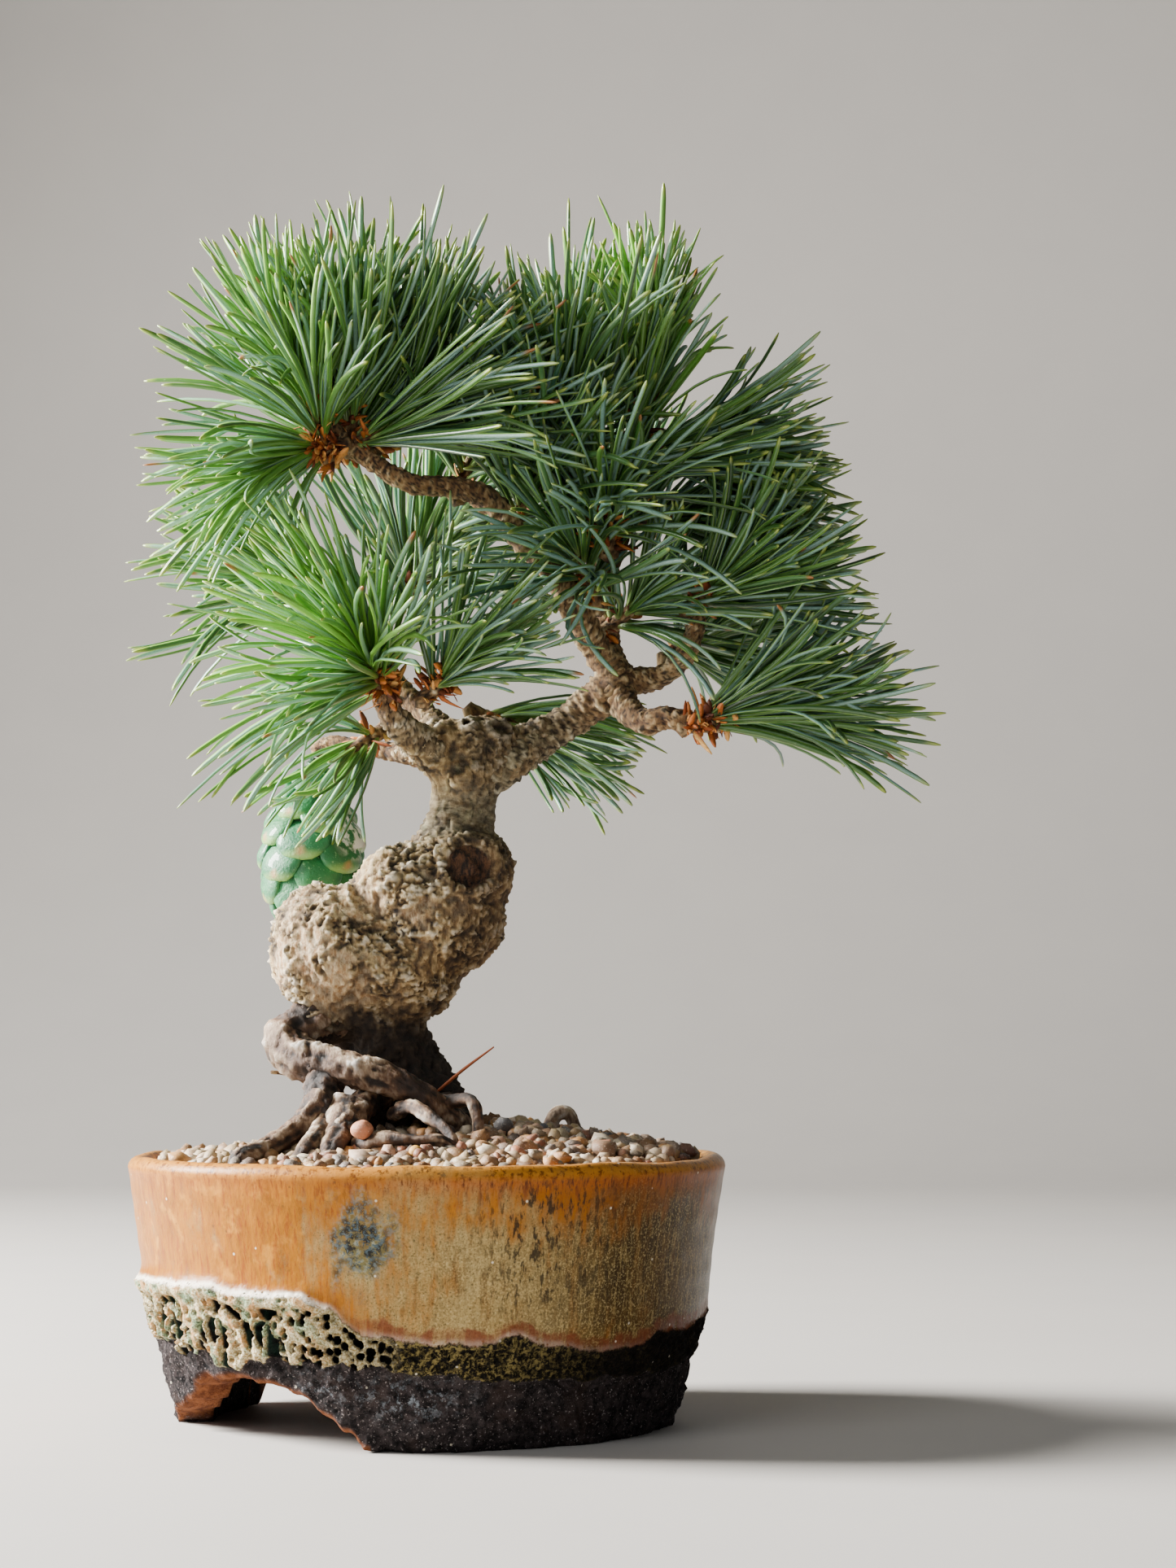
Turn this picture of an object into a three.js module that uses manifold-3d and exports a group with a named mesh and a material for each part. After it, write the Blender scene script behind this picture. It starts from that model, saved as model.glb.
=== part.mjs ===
// A small five-needle pine trained as a bonsai, in a round glazed stoneware pot on three feet.
// Millimetres, +Z up. Everything is laid out round the pot's own axis, with the table at z = 0, and
// the finished group is moved so that its origin is at the bottom centre of the whole object's box.
import * as THREE from "three";
import { mergeVertices } from "three/addons/utils/BufferGeometryUtils.js";
import Module from "manifold-3d";

const wasm = await Module();
wasm.setup();

// ---------------------------------------------------------------- driving dimensions
const GAP = 0.3; // clearance between two pieces that touch

const POT = {
  height: 64, // table to the top of the lip
  rimRadius: 73, // outside of the lip
  waistRadius: 68, // outside of the wall where the glaze ends
  footRadius: 60.5, // outside of the foot ring on the table
  wall: 5.5,
  floor: 6,
  footHeight: 16, // table to the underside of the floor
  footWidth: 9, // how thick the foot ring is, measured inwards
  glazeHeight: 28, // table to the middle of the glaze roll
  glazeRoll: 1.2, // how far the roll stands out of the wall
  sides: 36,
};
const DRAIN = { radius: 11, meshSize: 36, meshThickness: 1, cell: 5, bar: 1.4, wireRadius: 0.6 };

// The cut-outs between the feet: where each is round the pot, its width on the table, its height,
// and how much its two ends lean in.
const ARCHES = [
  { angle: 224, width: 74, height: 15, leanIn: [24, 17] },
  { angle: 24, width: 44, height: 13, leanIn: [10, 10] },
  { angle: 125, width: 44, height: 13, leanIn: [10, 10] },
];

// The gravel: how far below the lip it lies at the wall, its depth there, and its mound round the trunk.
const GRAVEL = { belowLip: 3, depth: 6, rise: 10.5, centre: [8, 0], spread: 35 };

// ---------------------------------------------------------------- small helpers
const v3 = (p) => new THREE.Vector3(p[0], p[1], p[2]);
/** Moves a point of the tree up from the height of the lip, from which the tree is measured. */
const onLip = ([x, y, z, ...rest]) => [x, y, z + POT.height, ...rest];
const radians = THREE.MathUtils.degToRad;

/** A closed three.js geometry as a manifold-3d solid. */
function solid(geometry) {
  const bare = geometry.clone();
  for (const name of Object.keys(bare.attributes)) {
    if (name !== "position") bare.deleteAttribute(name);
  }
  const merged = mergeVertices(bare, 1e-4);
  const made = new wasm.Manifold(
    new wasm.Mesh({
      numProp: 3,
      vertProperties: merged.attributes.position.array,
      triVerts: new Uint32Array(merged.index.array),
    }),
  );
  return made;
}

/** A manifold-3d solid as a three.js geometry. */
function geometryOf(shape) {
  const mesh = shape.getMesh();
  const geometry = new THREE.BufferGeometry();
  geometry.setAttribute("position", new THREE.BufferAttribute(mesh.vertProperties, 3));
  geometry.setIndex(new THREE.BufferAttribute(mesh.triVerts, 1));
  geometry.computeVertexNormals();
  return geometry;
}

/** The largest of a solid's separate bodies: cuts can leave crumbs. */
function largest(shape) {
  const bodies = shape.decompose();
  return bodies.reduce((a, b) => (b.volume() > a.volume() ? b : a));
}

/** shape with every cutter taken out of it. */
function without(shape, cutters) {
  return cutters.reduce((left, cutter) => left.subtract(cutter), shape);
}

/** A thick limb gets eight sides and a thin one six. */
const sidesFor = (stations) => (Math.max(...stations.map((s) => s[3])) > 3.5 ? 8 : 6);

/** An ellipsoid with its axes along X, Y and Z. */
function ellipsoid(centre, semi, grow = 0, around = 14, up = 9) {
  const ball = new THREE.SphereGeometry(1, around, up).rotateX(Math.PI / 2);
  ball.scale(semi[0] + grow, semi[1] + grow, semi[2] + grow);
  ball.translate(...centre);
  return solid(ball);
}

/** A round limb along a smooth curve. stations is a list of [x, y, z, radius]. */
function limb(stations, grow = 0, sides = sidesFor(stations)) {
  const curve = new THREE.CatmullRomCurve3(stations.map(v3), false, "centripetal");
  const steps = Math.round(1.4 * (stations.length - 1));
  const frames = curve.computeFrenetFrames(steps, false);
  const points = [];
  const faces = [];
  for (let i = 0; i <= steps; i++) {
    const t = i / steps;
    const centre = curve.getPoint(t);
    const at = t * (stations.length - 1);
    const k = Math.min(Math.floor(at), stations.length - 2);
    const radius = THREE.MathUtils.lerp(stations[k][3], stations[k + 1][3], at - k) + grow;
    for (let j = 0; j < sides; j++) {
      const turn = (2 * Math.PI * j) / sides;
      const out = frames.normals[i].clone().multiplyScalar(Math.cos(turn) * radius);
      out.addScaledVector(frames.binormals[i], Math.sin(turn) * radius);
      points.push(...centre.clone().add(out).toArray());
    }
  }
  for (let i = 0; i < steps; i++) {
    for (let j = 0; j < sides; j++) {
      const a = i * sides + j;
      const b = i * sides + ((j + 1) % sides);
      faces.push(a, b, b + sides, a, b + sides, a + sides);
    }
  }
  // Each end is a low cone, whose point stands out by half of the end's radius.
  const ends = [
    { ring: 0, at: 0, way: -1, radius: stations[0][3] + grow },
    { ring: steps * sides, at: 1, way: 1, radius: stations.at(-1)[3] + grow },
  ];
  for (const end of ends) {
    const tip = curve.getPoint(end.at).addScaledVector(curve.getTangent(end.at), end.way * end.radius * 0.5);
    const pole = points.length / 3;
    points.push(...tip.toArray());
    for (let j = 0; j < sides; j++) {
      const a = end.ring + j;
      const b = end.ring + ((j + 1) % sides);
      faces.push(...(end.way > 0 ? [a, b, pole] : [b, a, pole]));
    }
  }
  const geometry = new THREE.BufferGeometry();
  geometry.setAttribute("position", new THREE.BufferAttribute(new Float32Array(points), 3));
  geometry.setIndex(faces);
  const made = solid(geometry);
  return made.volume() < 0 ? solid(flipped(geometry)) : made;
}

/** The geometry with each face turned round. */
function flipped(geometry) {
  const index = Array.from(geometry.index.array);
  for (let i = 0; i < index.length; i += 3) [index[i + 1], index[i + 2]] = [index[i + 2], index[i + 1]];
  return geometry.clone().setIndex(index);
}

/** A solid of revolution about +Z from a closed [radius, height] outline. */
function turned(outline, sides) {
  const profile = outline.map(([r, z]) => new THREE.Vector2(r, z));
  const geometry = new THREE.LatheGeometry(profile, sides).rotateX(Math.PI / 2);
  const made = solid(geometry);
  return made.volume() < 0 ? solid(flipped(geometry)) : made;
}

/** An upright box, given its lowest and highest corners. */
function block(low, high) {
  const size = high.map((h, i) => h - low[i]);
  const middle = high.map((h, i) => (h + low[i]) / 2);
  return solid(new THREE.BoxGeometry(...size).translate(...middle));
}

// ---------------------------------------------------------------- group and materials
const bonsai = new THREE.Group();
bonsai.name = "bonsai_in_pot";

function finish(color, roughness, metalness = 0) {
  return new THREE.MeshStandardMaterial({ color, roughness, metalness });
}
const MATERIALS = {
  glaze: finish(0xb8763a, 0.35),
  mesh: finish(0x2c2f2e, 0.6),
  wire: finish(0x8f8f8c, 0.35, 0.9),
  soil: finish(0x4a3627, 0.95),
  gravel: finish(0xb09a80, 0.8),
  pinkStone: finish(0xd08a6c, 0.7),
  amberStone: finish(0xd9a441, 0.5),
  bark: finish(0x8a7558, 0.9),
  root: finish(0x9a8a78, 0.85),
  twig: finish(0x6e5340, 0.9),
  needles: finish(0x3f7a3f, 0.55),
  cone: finish(0x3f9a5a, 0.5),
  dryNeedle: finish(0x6b3a26, 0.7),
};

function addPiece(name, shape, material) {
  const mesh = new THREE.Mesh(geometryOf(shape), material);
  mesh.name = name;
  bonsai.add(mesh);
}

// ---------------------------------------------------------------- pot
/** Outside radius of the pot's wall at a height, between the foot and the lip. */
function wallRadius(z) {
  const below = z < POT.glazeHeight;
  const [lowZ, lowR] = below ? [0, POT.footRadius] : [POT.glazeHeight, POT.waistRadius];
  const [highZ, highR] = below ? [POT.glazeHeight, POT.waistRadius] : [POT.height, POT.rimRadius];
  return THREE.MathUtils.mapLinear(z, lowZ, highZ, lowR, highR);
}

/** Inside radius of the pot's wall at a height. */
const insideRadius = (z) => wallRadius(z) - POT.wall;
const floorTop = POT.footHeight + POT.floor;

function potBody() {
  const footInside = POT.footRadius - POT.footWidth;
  const roll = POT.glazeHeight;
  const lip = POT.wall / 2;
  const lipMiddle = POT.rimRadius - lip;
  const outline = [
    [0, POT.footHeight],
    [footInside - 3, POT.footHeight],
    [footInside - 1, POT.footHeight - 1],
    [footInside, 0],
    [POT.footRadius, 0],
    [wallRadius(6) + 0.6, 6],
    [wallRadius(roll - 8), roll - 8],
    [wallRadius(roll - 3) + POT.glazeRoll, roll - 3],
    [wallRadius(roll) + POT.glazeRoll, roll],
    [wallRadius(roll + 3), roll + 3],
    [wallRadius(POT.height - 6), POT.height - 6],
  ];
  for (let i = 0; i <= 4; i++) {
    const turn = (Math.PI * i) / 4;
    outline.push([lipMiddle + lip * Math.cos(turn), POT.height - lip + lip * Math.sin(turn)]);
  }
  outline.push(
    [insideRadius(POT.height - 6), POT.height - 6],
    [insideRadius(floorTop + 6), floorTop + 6],
    [insideRadius(floorTop) - 5, floorTop],
    [0, floorTop],
  );
  return turned(outline, POT.sides);
}

/** A cut-out between two feet, running straight out from under the pot. */
function archCutter({ angle, width, height, leanIn }) {
  const half = width / 2;
  const left = -half + leanIn[0];
  const right = half - leanIn[1];
  const shape = new THREE.Shape();
  shape.moveTo(-half - 1, -1);
  shape.quadraticCurveTo(left - 2, height - 2, left + 3, height);
  shape.quadraticCurveTo(right, height, half - leanIn[1] * 0.35, height * 0.4);
  shape.lineTo(half + 1, -1);
  shape.closePath();
  const cutter = new THREE.ExtrudeGeometry(shape, { depth: 45, bevelEnabled: false, curveSegments: 4 });
  const out = new THREE.Vector3(Math.cos(radians(angle)), Math.sin(radians(angle)), 0);
  const up = new THREE.Vector3(0, 0, 1);
  const along = up.clone().cross(out);
  const place = new THREE.Matrix4().makeBasis(along, up, out);
  place.setPosition(out.clone().multiplyScalar(POT.footRadius - 25));
  return solid(cutter.applyMatrix4(place));
}

function drainHole() {
  const hole = new THREE.CylinderGeometry(DRAIN.radius, DRAIN.radius, POT.floor + 4, 24).rotateX(Math.PI / 2);
  return solid(hole.translate(0, 0, POT.footHeight + POT.floor / 2));
}

addPiece("pot", without(potBody(), [...ARCHES.map(archCutter), drainHole()]), MATERIALS.glaze);

// ---------------------------------------------------------------- drain screen and its wire
const meshLow = floorTop + GAP;
const meshHigh = meshLow + DRAIN.meshThickness;

/** The square plastic screen over the drain hole. Only the cells above the hole are open. */
function drainMesh() {
  const half = DRAIN.meshSize / 2;
  const cells = [];
  const reach = Math.floor(DRAIN.radius / DRAIN.cell);
  for (let i = -reach; i <= reach; i++) {
    for (let j = -reach; j <= reach; j++) {
      const x = i * DRAIN.cell;
      const y = j * DRAIN.cell;
      if (Math.hypot(x, y) > DRAIN.radius) continue;
      const open = (DRAIN.cell - DRAIN.bar) / 2;
      cells.push(block([x - open, y - open, meshLow - 1], [x + open, y + open, meshHigh + 1]));
    }
  }
  return without(block([-half, -half, meshLow], [half, half, meshHigh]), cells);
}

const clipX = DRAIN.cell; // the wire goes through the cells this far from the middle
const clipLeg = DRAIN.radius + 8;
const clipUnder = POT.footHeight - GAP - DRAIN.wireRadius;
const clipOver = meshHigh + GAP + DRAIN.wireRadius;
const CLIP_PATH = [
  [-clipLeg, 0, clipUnder],
  [-clipX - 4, 0, clipUnder],
  [-clipX, 0, clipUnder + 1.5],
  [-clipX, 0, clipOver - 1.2],
  [-clipX + 1.5, 0, clipOver],
  [0, 0, clipOver],
  [clipX - 1.5, 0, clipOver],
  [clipX, 0, clipOver - 1.2],
  [clipX, 0, clipUnder + 1.5],
  [clipX + 4, 0, clipUnder],
  [clipLeg, 0, clipUnder],
].map((p) => [...p, DRAIN.wireRadius]);

addPiece("drain_mesh", drainMesh(), MATERIALS.mesh);
addPiece("mesh_clip_wire", limb(CLIP_PATH), MATERIALS.wire);

// ---------------------------------------------------------------- trunk and surface roots
// Heights in the tree, in its roots and in what lies on the gravel are measured from the pot's lip.
// The trunk is a swollen old stem: a leaning foot, two burls side by side, a short waist and a head.
const TRUNK_FOOT = [
  [4, 4, -24, 15],
  [2, 3, -8, 15],
  [-1, 3, 6, 13.5],
  [-8, 2, 21, 11.5],
  [-13, 1, 33, 12.5],
  [-14, 0, 44, 15],
];
const TRUNK_NECK = [
  [1, 0, 64, 14],
  [4, 1, 76, 11],
  [6, 2, 84, 8.4],
  [8, 2, 93, 9.2],
  [9, 2, 99, 8],
];
const BURLS = [
  { centre: [-21, -3, 49], semi: [17.5, 16, 17] },
  { centre: [-8, -2, 48], semi: [17, 15, 15] },
  { centre: [0, 0, 60], semi: [18.6, 17, 19] },
  { centre: [9.5, 2, 97], semi: [10.6, 10, 9] },
];
const SCAR = { centre: [13, -18, 70], radius: 7 };

function trunkSolid(grow) {
  const lumps = BURLS.map((b) => ellipsoid(onLip(b.centre), b.semi, grow));
  const stem = limb(TRUNK_FOOT.map(onLip), grow, 12).add(limb(TRUNK_NECK.map(onLip), grow, 12));
  const whole = lumps.reduce((a, b) => a.add(b), stem);
  const scar = ellipsoid(onLip(SCAR.centre), Array(3).fill(SCAR.radius), 0, 12, 8);
  return grow > 0 ? whole : whole.subtract(scar);
}

// Each root and branch is a list of [x, y, z, radius]. It starts inside what it grows from, and is
// cut back to it.
const ROOTS = {
  serpentine_root: [
    [-12, 1, 32, 5],
    [-19, -4, 33, 5],
    [-28, -8, 32.5, 5.2],
    [-33.5, -12, 28, 5.2],
    [-29, -17, 23, 5.2],
    [-18, -22, 20.5, 5],
    [-8, -23, 19, 4.6],
    [0, -22, 14.5, 4.6],
    [8, -18, 7, 4],
    [12, -15, -2, 3.4],
  ],
  buttress_root: [
    [-20, -19, 22, 3],
    [-23.5, -21, 17, 4.6],
    [-24, -24, 12, 5.4],
    [-22, -26, 7, 5],
    [-19, -25, -2, 4],
  ],
  left_root: [
    [-24, -24, 13, 3.6],
    [-29, -29, 7, 3],
    [-36, -37.5, 2.5, 2.5],
    [-41.5, -44.5, 0.2, 2.1],
    [-43, -46, -5, 1.6],
  ],
  front_left_root: [
    [-22, -25, 9, 2.6],
    [-24.7, -36, 4.5, 2.3],
    [-27.7, -44, -0.5, 2],
    [-29, -48, -6, 1.6],
  ],
  front_root: [
    [-18, -25, 11, 3.6],
    [-19.4, -36, 4, 3.2],
    [-21, -44, -1.3, 2.8],
    [-22, -48, -7, 2.2],
  ],
  knuckle_root: [
    [-8, -8, 16, 3],
    [-13, -17, 13.5, 3.6],
    [-16, -26, 10.5, 3.6],
    [-18.5, -33, 6, 3],
  ],
  bent_root: [
    [-3, -8, 14, 2.4],
    [1, -16, 12, 2.1],
    [7.6, -22, 13.4, 1.8],
    [11.6, -26, 13.2, 1.6],
    [12.9, -27.6, 9, 1.4],
    [12.5, -28, -2, 1.2],
  ],
  arch_root: [
    [-7, -8, 9, 2],
    [-7, -20, 10, 1.8],
    [-3, -28, 12, 1.7],
    [2, -34, 10, 1.6],
    [7, -38, 6, 1.4],
    [10, -40, -2, 1.2],
  ],
  low_root: [
    [-14, -27, 6, 2],
    [-14, -37, 3.5, 1.8],
    [-8, -42, 5, 1.7],
    [-1, -43, 4.4, 1.5],
    [5.6, -42, 4.5, 1.4],
    [12, -41, -2, 1.2],
  ],
  hoop_root: [
    [29, 8, -3, 1.9],
    [29.5, 8, 5, 1.7],
    [31, 8, 9, 1.7],
    [33.8, 8, 9.6, 1.6],
    [36, 8, 6, 1.4],
    [37, 8, -3, 1.2],
  ],
};

const BRANCHES = {
  right_branch: [
    [10, 2, 94, 6],
    [19, 2, 96.5, 5.2],
    [30, 4, 104, 4.5],
    [38, 4, 109, 4.3],
    [45, 2, 115, 5],
    [47, 2, 118, 4.4],
  ],
  crown_left_branch: [
    [46, 2, 117, 3.6],
    [40, 0, 126, 3.4],
    [35.5, -4, 134, 3.4],
    [31, -8, 142, 3.2],
    [25.6, -10, 147, 3.2],
    [20, -12, 153, 3.1],
    [14.7, -14, 159, 2.8],
    [6, -15, 162, 2.5],
    [-3, -16, 162.4, 2.4],
    [-12, -16, 167, 2.2],
    [-20, -16, 172, 2],
  ],
  crown_left_twig: [
    [-18, -16, 170, 1.8],
    [-26, -17, 180, 1.7],
    [-32, -18, 190, 1.4],
  ],
  crown_top_twig: [
    [-14, -16, 168, 1.8],
    [-18, -10, 179, 1.7],
    [-19, -6, 190, 1.4],
  ],
  apex_branch: [
    [46, 2, 117, 3.4],
    [43.6, 5, 128, 3],
    [43, 4, 142, 3],
    [47, 0, 154, 2.8],
    [50.6, 0, 174, 2.5],
    [52, 0, 193, 2],
  ],
  back_crown_branch: [
    [43, 4, 140, 2.4],
    [41, 13, 147, 2.2],
    [39, 20, 155, 1.8],
  ],
  back_left_crown_branch: [
    [30, -8, 143, 2.4],
    [22, 2, 152, 2.2],
    [12, 8, 162, 2],
    [6, 10, 170, 1.6],
  ],
  right_upper_branch: [
    [47, 3, 116, 3.4],
    [57.6, 0, 117.5, 3],
    [63.5, -4, 123, 2.8],
    [65.7, -6, 132, 2.4],
    [66.5, -6, 139, 1.9],
  ],
  right_lower_branch: [
    [46, 1, 113, 3.4],
    [52.5, -6, 105.5, 3],
    [58.3, -10, 106, 2.8],
    [65.8, -12, 104.5, 2.4],
    [71, -12, 104, 1.9],
  ],
  back_right_branch: [
    [47, 4, 116, 2.8],
    [54, 12, 117, 2.5],
    [60, 17, 121, 2],
  ],
  left_branch: [
    [5, -1, 96, 4.4],
    [-5, -10, 102, 3.6],
    [-9, -14, 107, 3],
    [-12, -18, 114, 2.2],
  ],
  back_left_branch: [
    [7, 7, 99, 3.6],
    [-2, 22, 110, 3],
    [-18, 31, 125, 2.7],
    [-29, 33, 138, 2.3],
    [-35, 34, 149, 1.8],
  ],
  back_twig: [
    [10, 9, 98, 2.8],
    [10, 17, 103, 2.4],
    [12, 24, 106, 1.9],
  ],
  cone_branch: [
    [4, 5, 96, 3],
    [-7, 10, 99, 2.5],
    [-17, 16, 101, 2.1],
    [-27, 22, 102.5, 1.8],
    [-30.5, 24, 100.5, 1.6],
  ],
};

const CONE = { top: [-31, 24, 99.5], radius: 13.2, length: 46 };

/** Every woody piece, cut to what it grows from, and the same piece GAP larger to cut others by. */
const woody = [];
const trunk = trunkSolid(0);
woody.push({ name: "trunk", shape: trunk, larger: trunkSolid(GAP), material: MATERIALS.bark });
for (const [family, material] of [
  [ROOTS, MATERIALS.root],
  [BRANCHES, MATERIALS.twig],
]) {
  for (const [name, fromLip] of Object.entries(family)) {
    const stations = fromLip.map(onLip);
    const cutters = woody.map((w) => w.larger);
    const shape = largest(without(limb(stations), cutters));
    woody.push({ name, shape, larger: limb(stations, GAP), material });
  }
}

// ---------------------------------------------------------------- seed cone
/** A closed green cone, hanging down: an egg that is widest above its middle. */
function seedCone(grow) {
  const outline = [];
  const steps = 12;
  for (let i = 0; i <= steps; i++) {
    const t = i / steps; // 0 at the lower tip
    const width = Math.sin(Math.PI * t ** 0.8) ** 0.7;
    outline.push([i % steps ? (CONE.radius + grow) * width : 0, (t - 1) * CONE.length + (2 * t - 1) * grow]);
  }
  return turned(outline, 16).translate(onLip(CONE.top));
}

woody.push({
  name: "seed_cone",
  shape: without(seedCone(0), woody.map((w) => w.larger)),
  larger: seedCone(GAP),
  material: MATERIALS.cone,
});

// ---------------------------------------------------------------- soil, gravel and loose bits
const gravelEdge = POT.height - GRAVEL.belowLip;
const soilTop = gravelEdge - GRAVEL.depth;

/** Height of the gravel's surface: just below the lip at the wall, heaped round the trunk. */
function moundHeight(x, y) {
  const away = (x - GRAVEL.centre[0]) ** 2 + (y - GRAVEL.centre[1]) ** 2;
  return gravelEdge + GRAVEL.rise * Math.exp(-away / (2 * GRAVEL.spread ** 2));
}

function soilBlock() {
  return turned(
    [
      [0, floorTop + GAP],
      [insideRadius(floorTop) - 5 - GAP, floorTop + GAP],
      [insideRadius(floorTop + 6) - GAP - 0.1, floorTop + 6],
      [insideRadius(soilTop) - GAP - 0.1, soilTop],
      [0, soilTop],
    ],
    POT.sides,
  );
}

function gravelLayer() {
  const low = soilTop + GAP;
  const lipInside = POT.height - 6;
  const outer = insideRadius(lipInside) - GAP - 0.1;
  const rings = 5;
  const outline = [
    [0, low],
    [insideRadius(low) - GAP - 0.1, low],
    [outer, lipInside],
  ];
  for (let i = rings; i >= 0; i--) outline.push([(outer * i) / rings, gravelEdge]);
  const disc = new THREE.LatheGeometry(
    outline.map(([r, z]) => new THREE.Vector2(r, z)),
    POT.sides,
  ).rotateX(Math.PI / 2);
  const at = disc.attributes.position;
  for (let i = 0; i < at.count; i++) {
    if (at.getZ(i) > lipInside + 1) at.setZ(i, moundHeight(at.getX(i), at.getY(i)));
  }
  const made = solid(disc);
  return made.volume() < 0 ? solid(flipped(disc)) : made;
}

const STONES = {
  pink_stone: { centre: [-13.2, -40.5, 7], semi: [2.6, 2.2, 2.2], material: MATERIALS.pinkStone },
  amber_stone: { centre: [-0.4, -47.5, 2.3], semi: [1.6, 1.5, 1.5], material: MATERIALS.amberStone },
};
const LITTER = {
  dead_twig: {
    stations: [
      [-24, -12, 19.5, 0.6],
      [-29.3, -14, 18.5, 0.6],
      [-37, -16, 20, 0.5],
    ],
    material: MATERIALS.twig,
  },
  fallen_needle: {
    stations: [
      [3, -12, 15.5, 0.45],
      [9, -15, 20.5, 0.5],
      [16.5, -18, 26, 0.45],
    ],
    material: MATERIALS.dryNeedle,
  },
};

const woodCutters = woody.map((w) => w.larger);
const stoneCutters = Object.values(STONES).map((s) => ellipsoid(onLip(s.centre), s.semi, GAP, 10, 8));
const plateHalf = DRAIN.meshSize / 2 + GAP;
const wireHalf = DRAIN.wireRadius + GAP;
const screenCutters = [
  block([-plateHalf, -plateHalf, floorTop], [plateHalf, plateHalf, meshHigh + GAP]),
  block([-clipX - wireHalf, -wireHalf, meshHigh], [clipX + wireHalf, wireHalf, clipOver + wireHalf]),
];
addPiece("soil", largest(without(soilBlock(), [...woodCutters, ...screenCutters])), MATERIALS.soil);
const gravel = largest(without(gravelLayer(), [...woodCutters, ...stoneCutters]));
addPiece("gravel_dressing", gravel, MATERIALS.gravel);
for (const [name, { centre, semi, material }] of Object.entries(STONES)) {
  addPiece(name, largest(without(ellipsoid(onLip(centre), semi, 0, 10, 8), woodCutters)), material);
}
for (const [name, { stations, material }] of Object.entries(LITTER)) {
  addPiece(name, largest(without(limb(stations.map(onLip)), woodCutters)), material);
}
for (const { name, shape, material } of woody) addPiece(name, shape, material);

// ---------------------------------------------------------------- needle tufts
// Each tuft is the space that one shoot's needles fill: a plain ellipsoid by its centre and
// semi-axes, parted from its neighbours by flat cuts, with the wood that runs through it taken out.
const TUFTS = {
  crown_left_low_tuft: { centre: [-42, -20, 168], semi: [35, 24, 18] },
  crown_left_tuft: { centre: [-44, -18, 200], semi: [25, 24, 26] },
  crown_top_tuft: { centre: [-13, -8, 208], semi: [27, 25, 29] },
  crown_inner_tuft: { centre: [14, -4, 190], semi: [27, 24, 24] },
  mid_left_tuft: { centre: [-46, 30, 150], semi: [35, 26, 23] },
  mid_back_tuft: { centre: [-2, 34, 140], semi: [29, 24, 22] },
  low_left_tuft: { centre: [-38, -18, 110], semi: [35, 24, 24] },
  low_front_tuft: { centre: [2, -22, 128], semi: [28, 20, 22] },
  low_back_tuft: { centre: [-30, 4, 86], semi: [28, 20, 18] },
  behind_trunk_tuft: { centre: [24, 28, 100], semi: [28, 22, 25] },
  apex_tuft: { centre: [56, 0, 208], semi: [22, 22, 24] },
  apex_right_tuft: { centre: [80, 0, 184], semi: [30, 24, 19] },
  apex_left_tuft: { centre: [33, -6, 194], semi: [18, 20, 25] },
  right_middle_tuft: { centre: [80, 8, 158], semi: [30, 24, 17] },
  centre_tuft: { centre: [40, -16, 150], semi: [23, 18, 19] },
  back_crown_tuft: { centre: [38, 30, 164], semi: [27, 22, 25] },
  right_upper_tuft: { centre: [82, -6, 136], semi: [28, 22, 17] },
  right_lower_tuft: { centre: [93, -12, 105], semi: [30, 22, 19] },
  back_right_tuft: { centre: [72, 26, 126], semi: [26, 20, 20] },
};

/** How far an ellipsoid reaches from its centre along a direction. */
const reach = (semi, way) => Math.hypot(semi[0] * way.x, semi[1] * way.y, semi[2] * way.z);

/** The tuft cut by a flat face, wherever it would run into a neighbour. */
function partFromNeighbours(name, shape) {
  const mine = TUFTS[name];
  let left = shape;
  for (const [other, theirs] of Object.entries(TUFTS)) {
    if (other === name) continue;
    const way = v3(mine.centre).sub(v3(theirs.centre));
    const apart = way.length();
    way.normalize();
    const mineOut = reach(mine.semi, way);
    const theirsOut = reach(theirs.semi, way);
    if (mineOut + theirsOut < apart) continue;
    const share = theirsOut / (mineOut + theirsOut);
    const face = v3(onLip(theirs.centre)).addScaledVector(way, apart * share + GAP / 2);
    left = left.trimByPlane(way.toArray(), way.dot(face));
  }
  return left;
}

for (const [name, { centre, semi }] of Object.entries(TUFTS)) {
  const whole = ellipsoid(onLip(centre), semi, 0, 10, 7);
  const near = woodCutters.filter((cutter) => cutter.intersect(whole).volume() > 0);
  const shape = largest(without(partFromNeighbours(name, whole), near));
  addPiece(name, shape, MATERIALS.needles);
}

// ---------------------------------------------------------------- origin
const whole = new THREE.Box3().setFromObject(bonsai);
const middle = whole.getCenter(new THREE.Vector3());
bonsai.position.set(-middle.x, -middle.y, -whole.min.z);

export default bonsai;
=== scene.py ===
"""A small five-needle pine trained as a bonsai, standing in a round glazed stoneware pot.

Shapes are worked out in millimetres round the pot's own axis. Heights in the pot are measured from
the table. Heights in the tree, its roots and what lies on the gravel are measured from the pot's
lip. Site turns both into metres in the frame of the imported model.
"""

import logging
import math
from dataclasses import dataclass, field
from enum import Enum
from typing import Any, Callable, Union

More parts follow.
